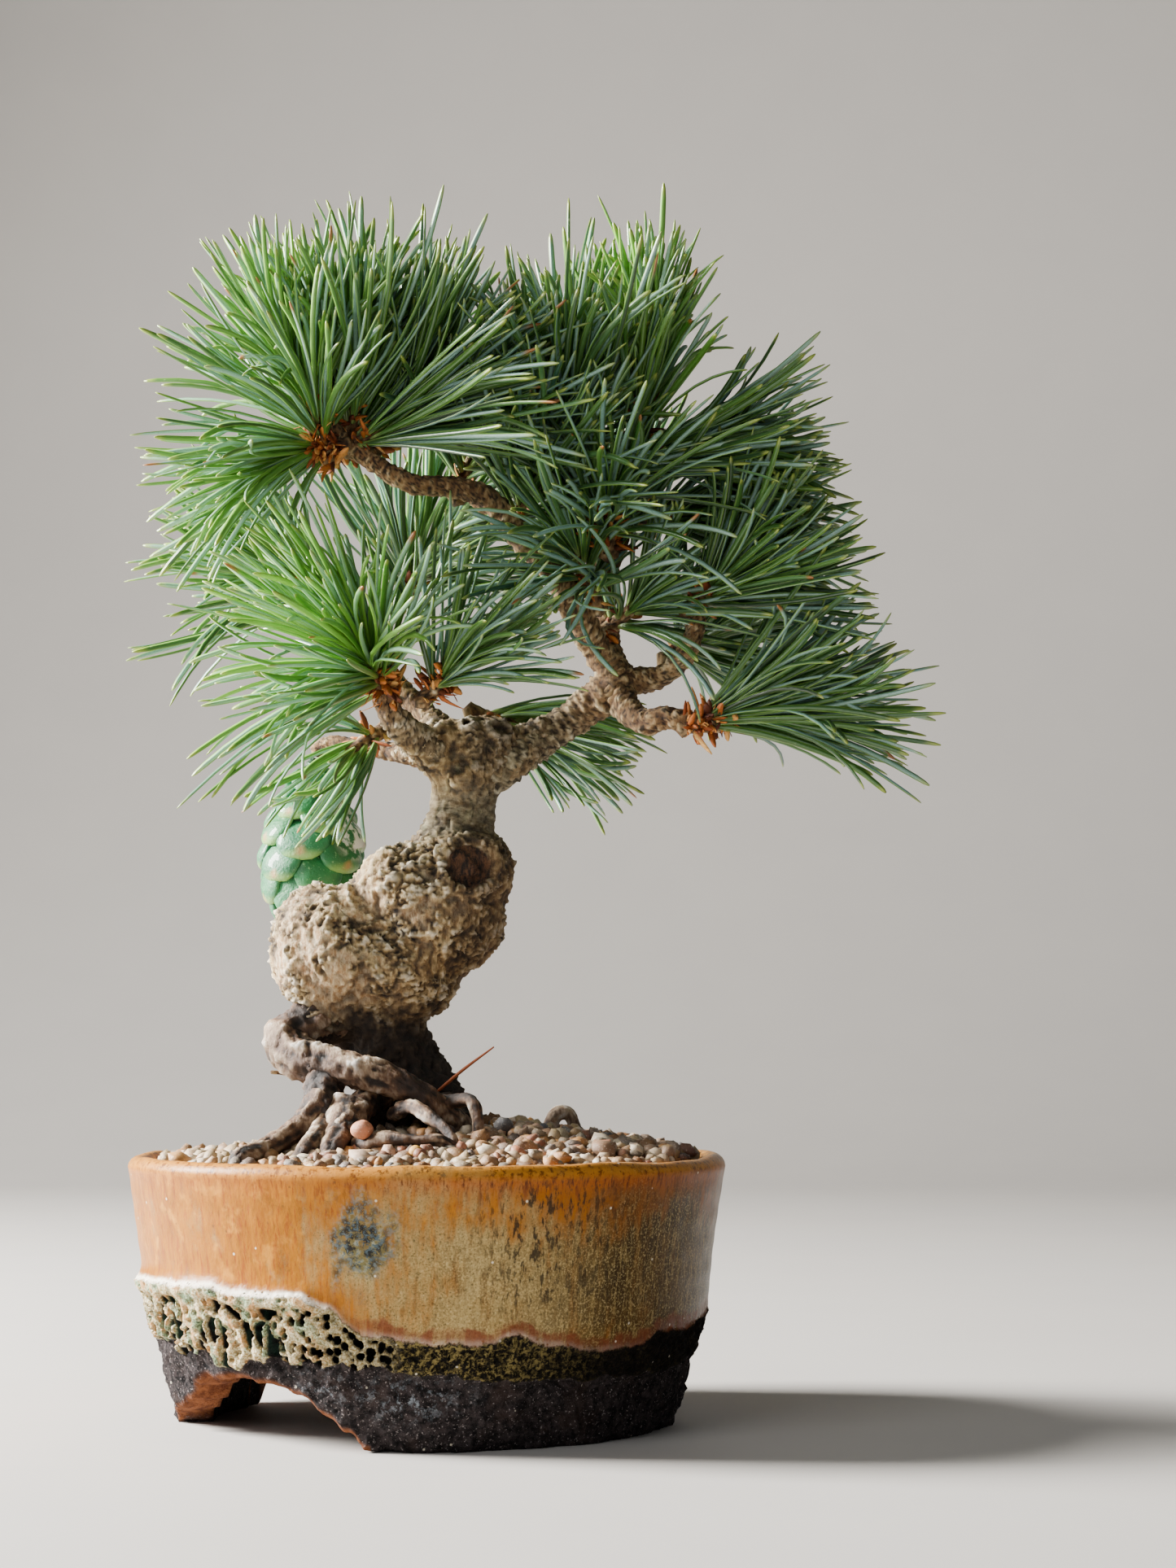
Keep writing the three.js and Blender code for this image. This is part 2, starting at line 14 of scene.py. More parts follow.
import bpy
import numpy as np
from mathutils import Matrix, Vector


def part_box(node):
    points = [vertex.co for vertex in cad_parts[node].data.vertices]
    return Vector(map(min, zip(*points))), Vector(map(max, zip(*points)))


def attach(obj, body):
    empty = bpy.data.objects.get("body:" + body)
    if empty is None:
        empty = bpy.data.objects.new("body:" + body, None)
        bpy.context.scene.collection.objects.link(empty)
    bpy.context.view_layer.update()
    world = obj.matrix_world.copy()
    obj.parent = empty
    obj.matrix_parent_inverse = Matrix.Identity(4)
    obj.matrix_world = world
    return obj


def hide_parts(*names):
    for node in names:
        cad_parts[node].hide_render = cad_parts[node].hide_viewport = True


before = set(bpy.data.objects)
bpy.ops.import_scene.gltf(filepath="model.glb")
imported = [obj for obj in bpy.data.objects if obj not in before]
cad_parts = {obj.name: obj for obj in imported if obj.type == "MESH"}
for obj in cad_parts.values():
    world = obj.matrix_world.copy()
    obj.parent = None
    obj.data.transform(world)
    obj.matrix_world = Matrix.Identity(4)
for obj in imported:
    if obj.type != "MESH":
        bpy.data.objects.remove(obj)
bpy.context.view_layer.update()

LOG = logging.getLogger("bonsai")
BODY = "root"
MM = 0.001
GOLDEN_TURN = math.pi * (3.0 - math.sqrt(5.0))

Array = np.ndarray
Colour = str  # six hexadecimal digits of screen values


# ---- numbers on whole arrays
def ramp(x: Array, low: float, high: float) -> Array:
    """Smooth step: 0 below low, 1 above high, and t squared times (3 - 2t) in between.

    Args:
        x: Values of any shape.
        low: Where the step starts.
        high: Where it ends. It may be below low, and the step then falls.

    Returns:
        An array like x, from 0 to 1.
    """
    t = np.clip((x - low) / (high - low), 0.0, 1.0)
    return t * t * (3.0 - 2.0 * t)


def bump(x: Array, centre: float, width: float) -> Array:
    """A bell that is 1 at centre and falls as exp(-(distance / width) squared)."""
    return np.exp(-(((x - centre) / width) ** 2))


def listed(*rows: Any) -> Any:
    """A dataclass field whose default is a list of these rows."""
    return field(default_factory=lambda: list(rows))


def unit(v: Array) -> Array:
    """Vectors along the last axis, scaled to length 1."""
    return v / np.maximum(np.linalg.norm(v, axis=-1, keepdims=True), 1e-12)


def turn_curve(stops: list[tuple[float, float]], degrees: Array) -> Array:
    """A smooth closed curve round the pot through given stops.

    Between two stops the value follows a cosine from one to the other.

    Args:
        stops: (angle in degrees, value) pairs in rising order, within one turn.
        degrees: The angles asked for.

    Returns:
        The value at each angle.
    """
    at = np.array([s[0] for s in stops] + [stops[0][0] + 360.0])
    value = np.array([s[1] for s in stops] + [stops[0][1]])
    d = (degrees - at[0]) % 360.0 + at[0]
    k = np.clip(np.searchsorted(at, d, side="right") - 1, 0, len(stops) - 1)
    t = (d - at[k]) / (at[k + 1] - at[k])
    return value[k] + (value[k + 1] - value[k]) * (1.0 - np.cos(np.pi * t)) / 2.0


@dataclass(frozen=True)
class Noise:
    """Seeded lattice noise, worked out for whole arrays of points at once."""

    seed: int

    def _hash(self, cell: Array) -> Array:
        """A number from 0 to 1 for each lattice cell, by mixing its three whole numbers."""
        c = cell.astype(np.int64)
        h = c[..., 0] * 374761393 + c[..., 1] * 668265263 + c[..., 2] * 1274126177
        h = (h + self.seed * 1442695041) & 0xFFFFFFFF
        h = ((h ^ (h >> 13)) * 1274126177) & 0xFFFFFFFF
        h = ((h ^ (h >> 16)) * 2246822519) & 0xFFFFFFFF
        h ^= h >> 15
        return h.astype(float) / 4294967296.0

    def value(self, p: Array) -> Array:
        """Value noise from -1 to 1: corner values blended by a smooth step along each axis."""
        cell = np.floor(p)
        t = p - cell
        t = t * t * (3.0 - 2.0 * t)
        total = np.zeros(p.shape[:-1])
        for corner in range(8):
            offset = np.array([(corner >> a) & 1 for a in range(3)])
            weight = np.prod(np.where(offset, t, 1.0 - t), axis=-1)
            total += weight * self._hash(cell + offset)
        return 2.0 * total - 1.0

    def cloud(self, p: Array, octaves: int = 4) -> Array:
        """Octaves of value noise, each half as large and half as strong as the one before."""
        total = np.zeros(p.shape[:-1])
        for k in range(octaves):
            total += self.value(p * 2.0**k + 17.3 * k) / 2.0**k
        return total / (2.0 - 2.0 ** (1 - octaves))

    def cells(self, p: Array, jitter: Union[float, Array] = 0.9) -> tuple[Array, Array, Array]:
        """Cellular noise.

        Args:
            p: Points, in units of one cell.
            jitter: How far each cell's seed may be from its middle, from 0 to 1, or that for
                each axis.

        Returns:
            The distance to the nearest seed, the distance to the next one, and a random
            number from 0 to 1 for the nearest seed's cell.
        """
        base = np.floor(p)
        first = np.full(p.shape[:-1], 9.0)
        second = first.copy()
        who = np.zeros_like(first)
        for step in np.ndindex(3, 3, 3):
            cell = base + np.array(step)[::-1] - 1
            spot = np.stack([self._hash(cell + 31.0 * a) for a in (1, 2, 3)], axis=-1)
            away = np.linalg.norm(cell + 0.5 + jitter * (spot - 0.5) - p, axis=-1)
            nearer = away < first
            second = np.where(nearer, first, np.minimum(second, away))
            who = np.where(nearer, spot[..., 0], who)
            first = np.where(nearer, away, first)
        return first, second, who


def drifts(p: Array, seed: int, octaves: int) -> Array:
    """Three clouds with seeds that follow each other, as one shift for each point."""
    return np.stack([Noise(seed + a).cloud(p, octaves) for a in range(3)], -1)


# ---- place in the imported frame
@dataclass(frozen=True)
class Site:
    """Where the pot stands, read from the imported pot's own box."""

    axis_x: float
    axis_y: float
    lip: float

    @classmethod
    def read(cls) -> "Site":
        """Finds the pot's axis in metres, and its lip's height in millimetres."""
        low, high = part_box("pot")
        return cls((low.x + high.x) / 2, (low.y + high.y) / 2, high.z / MM)

    def metres(self, points: Array) -> Array:
        """Millimetres round the pot's axis, from the table, to metres in the frame."""
        return points * MM + np.array([self.axis_x, self.axis_y, 0.0])

    def on_lip(self, points: Array) -> Array:
        """Points measured from the lip's height, raised to be measured from the table."""
        return np.asarray(points, float) + np.array([0.0, 0.0, self.lip])


SITE = Site.read()


# ---- meshes
@dataclass
class Shape:
    """A mesh as arrays: points in millimetres, faces, and one number per point for each mark."""

    points: Array
    quads: Array
    tris: Array = field(default_factory=lambda: np.zeros((0, 3), int))
    marks: dict[str, Array] = field(default_factory=dict)

    @staticmethod
    def joined(shapes: list["Shape"]) -> "Shape":
        """All the shapes as one. They carry the same marks."""
        starts = np.cumsum([0] + [len(s.points) for s in shapes[:-1]])
        marks = {k: np.concatenate([s.marks[k] for s in shapes]) for k in shapes[0].marks}
        return Shape(
            np.concatenate([s.points for s in shapes]),
            np.concatenate([s.quads + n for s, n in zip(shapes, starts)]),
            np.concatenate([s.tris + n for s, n in zip(shapes, starts)]),
            marks,
        )

    def normals(self) -> Array:
        """Point normals: face normals, by each face's area, summed at its points."""
        total = np.zeros_like(self.points)
        corners = self.points[self.quads]
        across = np.cross(corners[:, 2] - corners[:, 0], corners[:, 3] - corners[:, 1])
        for k in range(4):
            np.add.at(total, self.quads[:, k], across)
        if len(self.tris):
            corners = self.points[self.tris]
            across = np.cross(corners[:, 1] - corners[:, 0], corners[:, 2] - corners[:, 0])
            for k in range(3):
                np.add.at(total, self.tris[:, k], across)
        return unit(total)

    def to_object(self, name: str, material: bpy.types.Material) -> bpy.types.Object:
        """Makes the Blender object, at the origin, with its place in its mesh.

        Args:
            name: The piece's name.
            material: The finish.

        Returns:
            The new object, linked to the scene.
        """
        mesh = bpy.data.meshes.new(name)
        mesh.vertices.add(len(self.points))
        mesh.vertices.foreach_set("co", SITE.metres(self.points).astype(np.float32).ravel())
        loops = np.concatenate([self.quads.ravel(), self.tris.ravel()])
        starts = np.concatenate(
            [
                4 * np.arange(len(self.quads)),
                4 * len(self.quads) + 3 * np.arange(len(self.tris)),
            ]
        )
        mesh.loops.add(len(loops))
        mesh.loops.foreach_set("vertex_index", loops.astype(np.int32))
        mesh.polygons.add(len(starts))
        mesh.polygons.foreach_set("loop_start", starts.astype(np.int32))
        mesh.polygons.foreach_set("use_smooth", np.ones(len(starts), bool))
        for key, values in self.marks.items():
            layer = mesh.attributes.new(key, "FLOAT", "POINT")
            layer.data.foreach_set("value", values.astype(np.float32))
        mesh.update(calc_edges=True)
        mesh.validate()
        mesh.materials.append(material)
        return linked(name, mesh)


def linked(name: str, data: Any) -> bpy.types.Object:
    """A new object of that name and data, in the scene."""
    made = bpy.data.objects.new(name, data)
    bpy.context.scene.collection.objects.link(made)
    return made


def lattice(rows: int, columns: int, wrap_rows: bool = False, wrap_columns: bool = True) -> Array:
    """Quads of a grid of points numbered row by row.

    Args:
        rows: Number of rows.
        columns: Number of points in a row.
        wrap_rows: Whether the last row joins the first.
        wrap_columns: Whether each row closes on itself.

    Returns:
        An array of quads. With rows going up and columns anticlockwise they face outwards.
    """
    r = np.arange(rows if wrap_rows else rows - 1)[:, None]
    c = np.arange(columns if wrap_columns else columns - 1)[None, :]
    up, on = (r + 1) % rows, (c + 1) % columns
    quads = [r * columns + c, r * columns + on, up * columns + on, up * columns + c]
    return np.stack([np.broadcast_to(q, np.broadcast(r, c).shape) for q in quads], -1).reshape(-1, 4)


def pole_fans(rows: int, columns: int) -> Array:
    """Triangles from a grid's first and last rows to two poles numbered after its points."""
    k, n = np.arange(columns), rows * columns
    on, top = (k + 1) % columns, n - columns
    fans = [(on, k, np.full(columns, n)), (top + k, top + on, np.full(columns, n + 1))]
    return np.vstack([np.stack(fan, -1) for fan in fans])


def ball(rows: int, columns: int) -> Array:
    """Points of a sphere of radius 1: its rings from below upwards, and then its two poles."""
    up = np.linspace(-np.pi / 2, np.pi / 2, rows + 2)[1:-1, None]
    turn = np.linspace(0, 2 * np.pi, columns, endpoint=False)[None, :]
    rings = np.stack([np.cos(up) * np.cos(turn), np.cos(up) * np.sin(turn), np.sin(up) + 0 * turn], -1)
    return np.vstack([rings.reshape(-1, 3), [[0, 0, -1], [0, 0, 1]]])


def spline(stations: Array, pitch: float) -> Array:
    """A centripetal Catmull-Rom curve, sampled evenly.

    Each stretch is blended from its four nearest stations, with knots spaced by the square root
    of the distances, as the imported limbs' centre lines are.

    Args:
        stations: Rows of x, y, z and any further values, which follow the same curve.
        pitch: The distance between samples.

    Returns:
        Rows like the stations', one for each sample, first and last included.
    """
    s = np.asarray(stations, float)
    s = np.vstack([2 * s[0] - s[1], s, 2 * s[-1] - s[-2]])
    steps = np.linalg.norm(np.diff(s[:, :3], axis=0), axis=1)
    knots = np.concatenate([[0.0], np.cumsum(np.sqrt(steps))])
    dense = []
    for k in range(1, len(s) - 2):
        t = np.linspace(knots[k], knots[k + 1], 24, endpoint=k == len(s) - 3)[:, None]

        def level(a: Array, b: Array, i: int, j: int) -> Array:
            """One step of the pyramid: a straight blend between knots i and j."""
            return a + (b - a) * (t - knots[i]) / (knots[j] - knots[i])

        a1 = level(s[k - 1], s[k], k - 1, k)
        a2 = level(s[k], s[k + 1], k, k + 1)
        a3 = level(s[k + 1], s[k + 2], k + 1, k + 2)
        dense.append(level(level(a1, a2, k - 1, k + 1), level(a2, a3, k, k + 2), k, k + 1))
    line = np.concatenate(dense)
    run = np.concatenate([[0.0], np.cumsum(np.linalg.norm(np.diff(line[:, :3], axis=0), axis=1))])
    even = np.linspace(0.0, run[-1], max(int(round(run[-1] / pitch)), 3) + 1)
    return np.stack([np.interp(even, run, line[:, k]) for k in range(line.shape[1])], axis=-1)


def carried_frames(path: Array) -> tuple[Array, Array, Array]:
    """Directions along a path that turn as little as they can.

    Args:
        path: Points along the path.

    Returns:
        The tangent, and two directions square to it and to each other, at each point.
    """
    tangent = unit(np.gradient(path, axis=0))
    side = np.zeros_like(tangent)
    guess = np.array([0.0, -1.0, 0.0]) if abs(tangent[0, 1]) < 0.8 else np.array([1.0, 0.0, 0.0])
    side[0] = unit(guess - tangent[0] * (guess @ tangent[0]))
    for k in range(1, len(path)):
        side[k] = unit(side[k - 1] - tangent[k] * (side[k - 1] @ tangent[k]))
    return tangent, side, np.cross(tangent, side)


def tube(path: Array, radius: Array, sides: int) -> Shape:
    """A round profile carried along a path, closed at both ends by a low cone.

    A point is path + radius * (cos(turn) * side + sin(turn) * other side).

    Args:
        path: Points along the middle, in millimetres.
        radius: The radius at each of them.
        sides: Number of points in a ring.

    Returns:
        The closed tube, with the marks "along" from 0 to 1 and "turn" in radians.
    """
    tangent, side, other = carried_frames(path)
    turn = np.linspace(0.0, 2 * np.pi, sides, endpoint=False)
    ring = np.cos(turn)[None, :, None] * side[:, None] + np.sin(turn)[None, :, None] * other[:, None]
    points = (path[:, None] + radius[:, None, None] * ring).reshape(-1, 3)
    rows = len(path)
    tips = np.array([path[0] - tangent[0] * radius[0] * 0.5, path[-1] + tangent[-1] * radius[-1] * 0.5])
    along = np.concatenate([np.repeat(np.linspace(0, 1, rows), sides), [0.0, 1.0]])
    marks = {"along": along, "turn": np.concatenate([np.tile(turn, rows), [0.0, 0.0]])}
    return Shape(np.vstack([points, tips]), lattice(rows, sides), pole_fans(rows, sides), marks)


# ---- shaders
Number = Union["Wire", float]


def maths_method(operation: str, swapped: bool = False) -> Callable[["Wire", Number], "Wire"]:
    """A Wire's operator, as one Math node.

    Args:
        operation: The node's operation.
        swapped: Whether the other value comes first.

    Returns:
        The method.
    """

    def method(self: "Wire", other: Number) -> "Wire":
        """The node's output for the two values."""
        pair = (other, self) if swapped else (self, other)
        return self.shader.node("ShaderNodeMath", {"operation": operation}, dict(enumerate(pair)))

    return method


class Wire:
    """A socket that numbers or colours come out of, with arithmetic for the numbers."""

    def __init__(self, shader: "Shader", socket: bpy.types.NodeSocket) -> None:
        """Holds the socket and the shader that it is in."""
        self.shader = shader
        self.socket = socket

    __add__ = __radd__ = maths_method("ADD")
    __sub__, __rsub__ = maths_method("SUBTRACT"), maths_method("SUBTRACT", swapped=True)
    __mul__ = __rmul__ = maths_method("MULTIPLY")
    __truediv__, __pow__ = maths_method("DIVIDE"), maths_method("POWER")

    def held(self) -> "Wire":
        """The value, held between 0 and 1."""
        return self.shader.node("ShaderNodeClamp", {}, {"Value": self, "Min": 0.0, "Max": 1.0})

    def rise(self, low: float, high: float) -> "Wire":
        """A smooth step: 0 at low, 1 at high. With low above high it falls."""
        settings = {"interpolation_type": "SMOOTHSTEP"}
        inputs: dict[Any, Any] = {"Value": self, "From Min": low, "From Max": high}
        if low > high:
            inputs = {"Value": self, "From Min": high, "From Max": low, "To Min": 1.0, "To Max": 0.0}
        return self.shader.node("ShaderNodeMapRange", settings, inputs)

    def through(self, stops: list[tuple[float, Colour]]) -> "Wire":
        """The colour that a ramp with these stops gives the value."""
        return self.shader.node("ShaderNodeValToRGB", {"stops": stops}, {"Fac": self})


class Shader:
    """A material and the nodes that make its finish."""

    def __init__(self, name: str) -> None:
        """Starts an empty material."""
        self.material = bpy.data.materials.new(name)
        self.material.use_nodes = True
        self.tree = self.material.node_tree
        self.tree.nodes.clear()
        self.place = self.node("ShaderNodeTexCoord", {}, {}, out="Object")

    def node(
        self, kind: str, settings: dict[str, Any], inputs: dict[Any, Any], out: Any = 0
    ) -> Wire:
        """Adds one node.

        Args:
            kind: The node's type.
            settings: Its own settings, set first. "stops" are a colour ramp's stops.
            inputs: A value or a Wire for each socket, by name or by number.
            out: The output wanted, by name or by number.

        Returns:
            That output.
        """
        made = self.tree.nodes.new(kind)
        for key, value in settings.items():
            if key == "stops":
                ramp_stops = made.color_ramp.elements
                while len(ramp_stops) < len(value):
                    ramp_stops.new(0.5)
                for stop, (position, colour) in zip(ramp_stops, value):
                    stop.position = position
                    stop.color = srgb(colour)
            else:
                setattr(made, key, value)
        for key, value in inputs.items():
            socket = made.inputs[key]
            if isinstance(value, Wire):
                self.tree.links.new(value.socket, socket)
            elif isinstance(value, str):
                socket.default_value = srgb(value)
            else:
                socket.default_value = value
        return Wire(self, made.outputs[out])

    def mark(self, name: str) -> Wire:
        """The piece's own value of that name at each point."""
        return self.node("ShaderNodeAttribute", {"attribute_name": name}, {}, out="Fac")

    def stretched(self, scale: tuple[float, float, float]) -> Wire:
        """Object coordinates, scaled along each axis."""
        return self.node("ShaderNodeMapping", {}, {"Vector": self.place, "Scale": scale})

    def noise(
        self, size: float, detail: float = 4.0, rough: float = 0.55, at: Union[Wire, None] = None
    ) -> Wire:
        """Cloudy noise whose largest features are about size millimetres across."""
        inputs = {
            "Vector": at or self.place,
            "Scale": 1.0 / (size * MM),
            "Detail": detail,
            "Roughness": rough,
        }
        return self.node("ShaderNodeTexNoise", {}, inputs, out="Fac")

    def cells(
        self, size: float, feature: str = "F1", out: str = "Distance", at: Union[Wire, None] = None
    ) -> Wire:
        """Cellular noise with cells about size millimetres across."""
        inputs = {"Vector": at or self.place, "Scale": 1.0 / (size * MM)}
        return self.node("ShaderNodeTexVoronoi", {"feature": feature}, inputs, out=out)

    def mix(self, share: Number, a: Any, b: Any) -> Wire:
        """Colour a turned into b by share."""
        return self.node("ShaderNodeMix", {"data_type": "RGBA"}, {0: share, 6: a, 7: b}, out=2)

    def bumped(self, height: Wire, depth: float, strength: float = 1.0) -> Wire:
        """A normal for a height from 0 to 1 that stands for depth millimetres."""
        inputs = {"Height": height, "Distance": depth * MM, "Strength": strength}
        return self.node("ShaderNodeBump", {}, inputs)

    def close(
        self,
        colour: Any,
        roughness: Number,
        normal: Union[Wire, None] = None,
        **fixed: float,
    ) -> bpy.types.Material:
        """Finishes the material with one Principled shader.

        Args:
            colour: Base colour, a Wire or a plain colour.
            roughness: Roughness, a Wire or a number.
            normal: The normal, where something bends it.
            fixed: Other sockets' constant values, by name with _ for a space.

        Returns:
            The material.
        """
        inputs: dict[Any, Any] = {"Base Color": colour, "Roughness": roughness}
        if normal is not None:
            inputs["Normal"] = normal
        for key, value in fixed.items():
            inputs[key.replace("_", " ")] = value
        surface = self.node("ShaderNodeBsdfPrincipled", {}, inputs)
        end = self.tree.nodes.new("ShaderNodeOutputMaterial")
        self.tree.links.new(surface.socket, end.inputs["Surface"])
        return self.material


def srgb(text: Colour) -> tuple[float, ...]:
    """A colour's linear red, green and blue, and an alpha of 1."""
    parts = [int(text[k : k + 2], 16) / 255 for k in (0, 2, 4)]
    linear = (p / 12.92 if p <= 0.04045 else ((p + 0.055) / 1.055) ** 2.4 for p in parts)
    return (*linear, 1.0)


# ---- finishes
@dataclass(frozen=True)
class PotFinish:
    """Wood-fired stoneware: an orange to olive glaze that ends in a crust over rough dark clay."""

    khaki: Colour = "a08c5c"
    cream: Colour = "fbf4e2"

    def glaze(self, s: Shader) -> Wire:
        """The glaze's colour: orange and khaki in clouds and runs, specks, a blotch, a rusty hem.

        Args:
            s: The shader.

        Returns:
            The colour.
        """
        above, dim = s.mark("above"), s.mark("dim")
        streaks = s.noise(2.6, 6.0, 0.65, s.stretched((1.0, 1.0, 0.14)))
        hair = s.noise(0.8, 5.0, 0.65, s.stretched((1.0, 1.0, 0.12)))
        cloud, grain = s.noise(14.0, 6.0, 0.62), s.noise(0.5, 3.0, 0.7)
        amber = s.mix((streaks * 2.0 - 0.5).held(), "884600", "b27206")
        sunny = s.mix((streaks * 2.0 - 0.5).held(), "7c4300", "aa6e03")
        bright = s.mix(s.mark("glass"), amber, sunny)
        bright = s.mix(hair.rise(0.50, 0.64) * 0.65, bright, "7e3606")
        bright = s.mix(s.noise(5.0).rise(0.55, 0.72) * 0.4, bright, "dc9a34")
        # Painted shade: towards the pot's right side the bright and the khaki glaze turn dark brown; a little
        # of it is the glaze's own browning.
        bright = s.mix((dim * (0.5 + cloud * 0.6)).held(), bright, "7c4512")
        dull = s.mix((cloud * 1.8 - 0.45).held(), self.khaki, "98783f")
        dull = s.mix((dim * 1.1).held(), dull, s.mix(cloud.rise(0.4, 0.6), "38260a", "523b15"))
        dull = s.mix(streaks.rise(0.48, 0.68) * 0.65, dull, "574821")
        dull = s.mix(hair.rise(0.50, 0.64) * 0.4, dull, "bfa365")
        dull = s.mix(grain.rise(0.51, 0.66) * 0.6, dull, "c9b27a")
        dull = s.mix(grain.rise(0.48, 0.32) * 0.75, dull, "3a2f15")
        warmth = s.mark("warm") + (cloud - 0.5) * 1.9 + (streaks - 0.5) * 1.3 + (grain - 0.5) * 0.7
        glaze = s.mix(warmth.rise(0.1, 0.9), dull, bright)
        band = s.mark("band")
        glaze = s.mix((band + (streaks - 0.5) * 0.9).held() * 0.8, glaze, "9a5012")
        glaze = s.mix((band * 1.4 * hair.rise(0.48, 0.66)).held(), glaze, "5c2c0c")
        drips = s.noise(1.3, 5.0, 0.7, s.stretched((1.0, 1.0, 0.34)))
        specks = drips.rise(0.50, 0.60) * (s.mark("dusk") + (cloud - 0.5) * 1.4).held()
        glaze = s.mix(specks.held() * 0.9, glaze, "231a0c")
        sparse = s.cells(2.6).rise(0.16, 0.08) * s.noise(9.0).rise(0.45, 0.62)
        glaze = s.mix(sparse * 0.6, glaze, "4a351b")
        spot = s.mark("blotch")
        haze = s.mix(s.noise(0.9, 3.0).rise(0.4, 0.6), "4c5030", "8b9a8b")
        glaze = s.mix((spot * (0.3 + 0.8 * s.noise(2.8))).held(), glaze, haze)
        ink = s.mix(s.noise(0.9, 2.0).rise(0.50, 0.64), "0b0e16", "44545c")
        glaze = s.mix((spot * s.noise(1.8, 6.0, 0.75).rise(0.45, 0.53)).held() * 0.96, glaze, ink)
        hem = (above + (s.noise(5.0, 5.0, 0.65) - 0.5) * 7.0).rise(4.0, 2.2)
        hem = hem * (0.45 + streaks.rise(0.35, 0.6) * 0.75) * s.mark("rust")
        return s.mix(hem.held() * 0.9, glaze, s.mix(grain, "4f2210", "8a4a28"))

    def crust(self, s: Shader) -> Wire:
        """The crust's colour: cream ribs with green glass and black pits, or near-black slag.

        Args:
            s: The shader.

        Returns:
            The colour.
        """
        grain, glass, dim = s.noise(0.5, 3.0, 0.7), s.noise(5.0, 4.0, 0.6), s.mark("dim")
        pits, left = s.mark("pit"), s.mark("glass")
        crust = s.mix(grain.rise(0.38, 0.62), "a88a4e", "efe6c0")
        crust = s.mix(s.noise(3.4, 4.0).rise(0.46, 0.62) * left * 0.75, crust, "c98a48")
        crust = s.mix(s.noise(1.9, 5.0, 0.7).rise(0.50, 0.66) * 0.75, crust, "5d5a33")
        slag = s.mix(s.noise(1.1, 5.0, 0.75).rise(0.46, 0.60), "0e0b07", "8a7a48")
        # Painted shade: the slag turns near-black towards the pot's right side.
        slag = s.mix((dim + (glass - 0.5)).held(), slag, s.mix(grain.rise(0.45, 0.7), "0a0807", "2c2216"))
        crust = s.mix((s.mark("dark_crust") * (0.75 + 0.7 * glass)).held(), crust, slag)
        green = s.mix(grain.rise(0.4, 0.6), "1c4c3a", "8fb58c")
        crust = s.mix((glass.rise(0.50, 0.60) * left).held() * 0.75, crust, green)
        deep = s.mix(left * glass.rise(0.45, 0.6), "060504", "142c22")
        return s.mix(pits.rise(0.12, 0.42), crust, deep)

    def make(self) -> bpy.types.Material:
        """Builds the material from the pot's own marks.

        Returns:
            The material.
        """
        s = Shader("glazed_stoneware")
        above = s.mark("above")
        grain, streaks = s.noise(0.55, 3.0, 0.7), s.noise(3.0, 5.0, 0.6, s.stretched((1.0, 1.0, 0.16)))
        froth = s.mix(grain.rise(0.30, 0.46), "d8b078", self.cream)
        froth = s.mix(s.cells(1.5).rise(0.26, 0.16) * 0.9, froth, "3a3420")
        share = s.mark("roll") * (1.3 + (streaks - 0.5) * 1.6 + (grain - 0.5) * 1.2)
        glaze = s.mix(share.held(), self.glaze(s), froth)
        clay = s.mix(s.noise(2.2, 6.0, 0.78).rise(0.38, 0.66), "0f0d0e", "443c3c")
        clay = s.mix(s.noise(9.0, 4.0).rise(0.52, 0.7) * 0.4, clay, "463731")
        clay = s.mix(s.noise(0.6, 2.0).rise(0.62, 0.70) * 0.7, clay, "9a908e")
        # Painted reflection: a patchy bluish-grey sheen on the dark clay near the front foot.
        frost = s.mark("frost") * s.noise(2.6, 5.0, 0.7).rise(0.50, 0.60) * grain.rise(0.3, 0.55)
        clay = s.mix(frost.held() * 0.9, clay, "a3adb6")
        cut = s.mix(s.noise(2.6, 5.0, 0.7).rise(0.35, 0.65), "5a2e18", "8c5430")
        clay = s.mix((s.mark("cut") * (0.7 + 0.5 * grain)).held(), clay, cut)
        hold = (s.mark("crust") + (s.noise(1.8, 5.0, 0.7) - 0.5) * 1.5).rise(0.3, 0.7)
        edge = (above + (streaks - 0.5) * 2.4 + (grain - 0.5) * 1.2).rise(-0.4, 0.3)
        colour = s.mix(edge, s.mix(hold, clay, self.crust(s)), glaze)
        inside = s.mix(streaks, "6c3413", "a06026")
        colour = s.mix(s.mark("inside"), colour, inside)
        lip = s.mix(s.noise(1.5, 6.0, 0.72).rise(0.50, 0.60), "bd8030", "5a3312")
        colour = s.mix((s.mark("lip") * (0.25 + 0.9 * s.noise(4.0))).held(), colour, lip)
        colour = s.mix(s.cells(5.5).rise(0.07, 0.04) * 0.8, colour, "e2d8c2")

        rough = 0.94 + (0.27 + 0.18 * s.noise(3.5) - 0.94) * edge
        rough = rough - s.mark("glass") * s.mark("crust") * (1.0 - edge) * 0.55
        relief = s.noise(0.7, 5.0, 0.7) * (1.0 - edge * 0.92) + s.noise(1.6, 3.0) * edge * 0.12
        return s.close(
            colour, rough.held(), s.bumped(relief, 0.9, 0.9), Specular_IOR_Level=0.16
        )


class Bark(Enum):
    """The kinds of bark and root skin."""

    TRUNK = "trunk_bark"
    ROOT = "root_bark"
    BRANCH = "branch_bark"


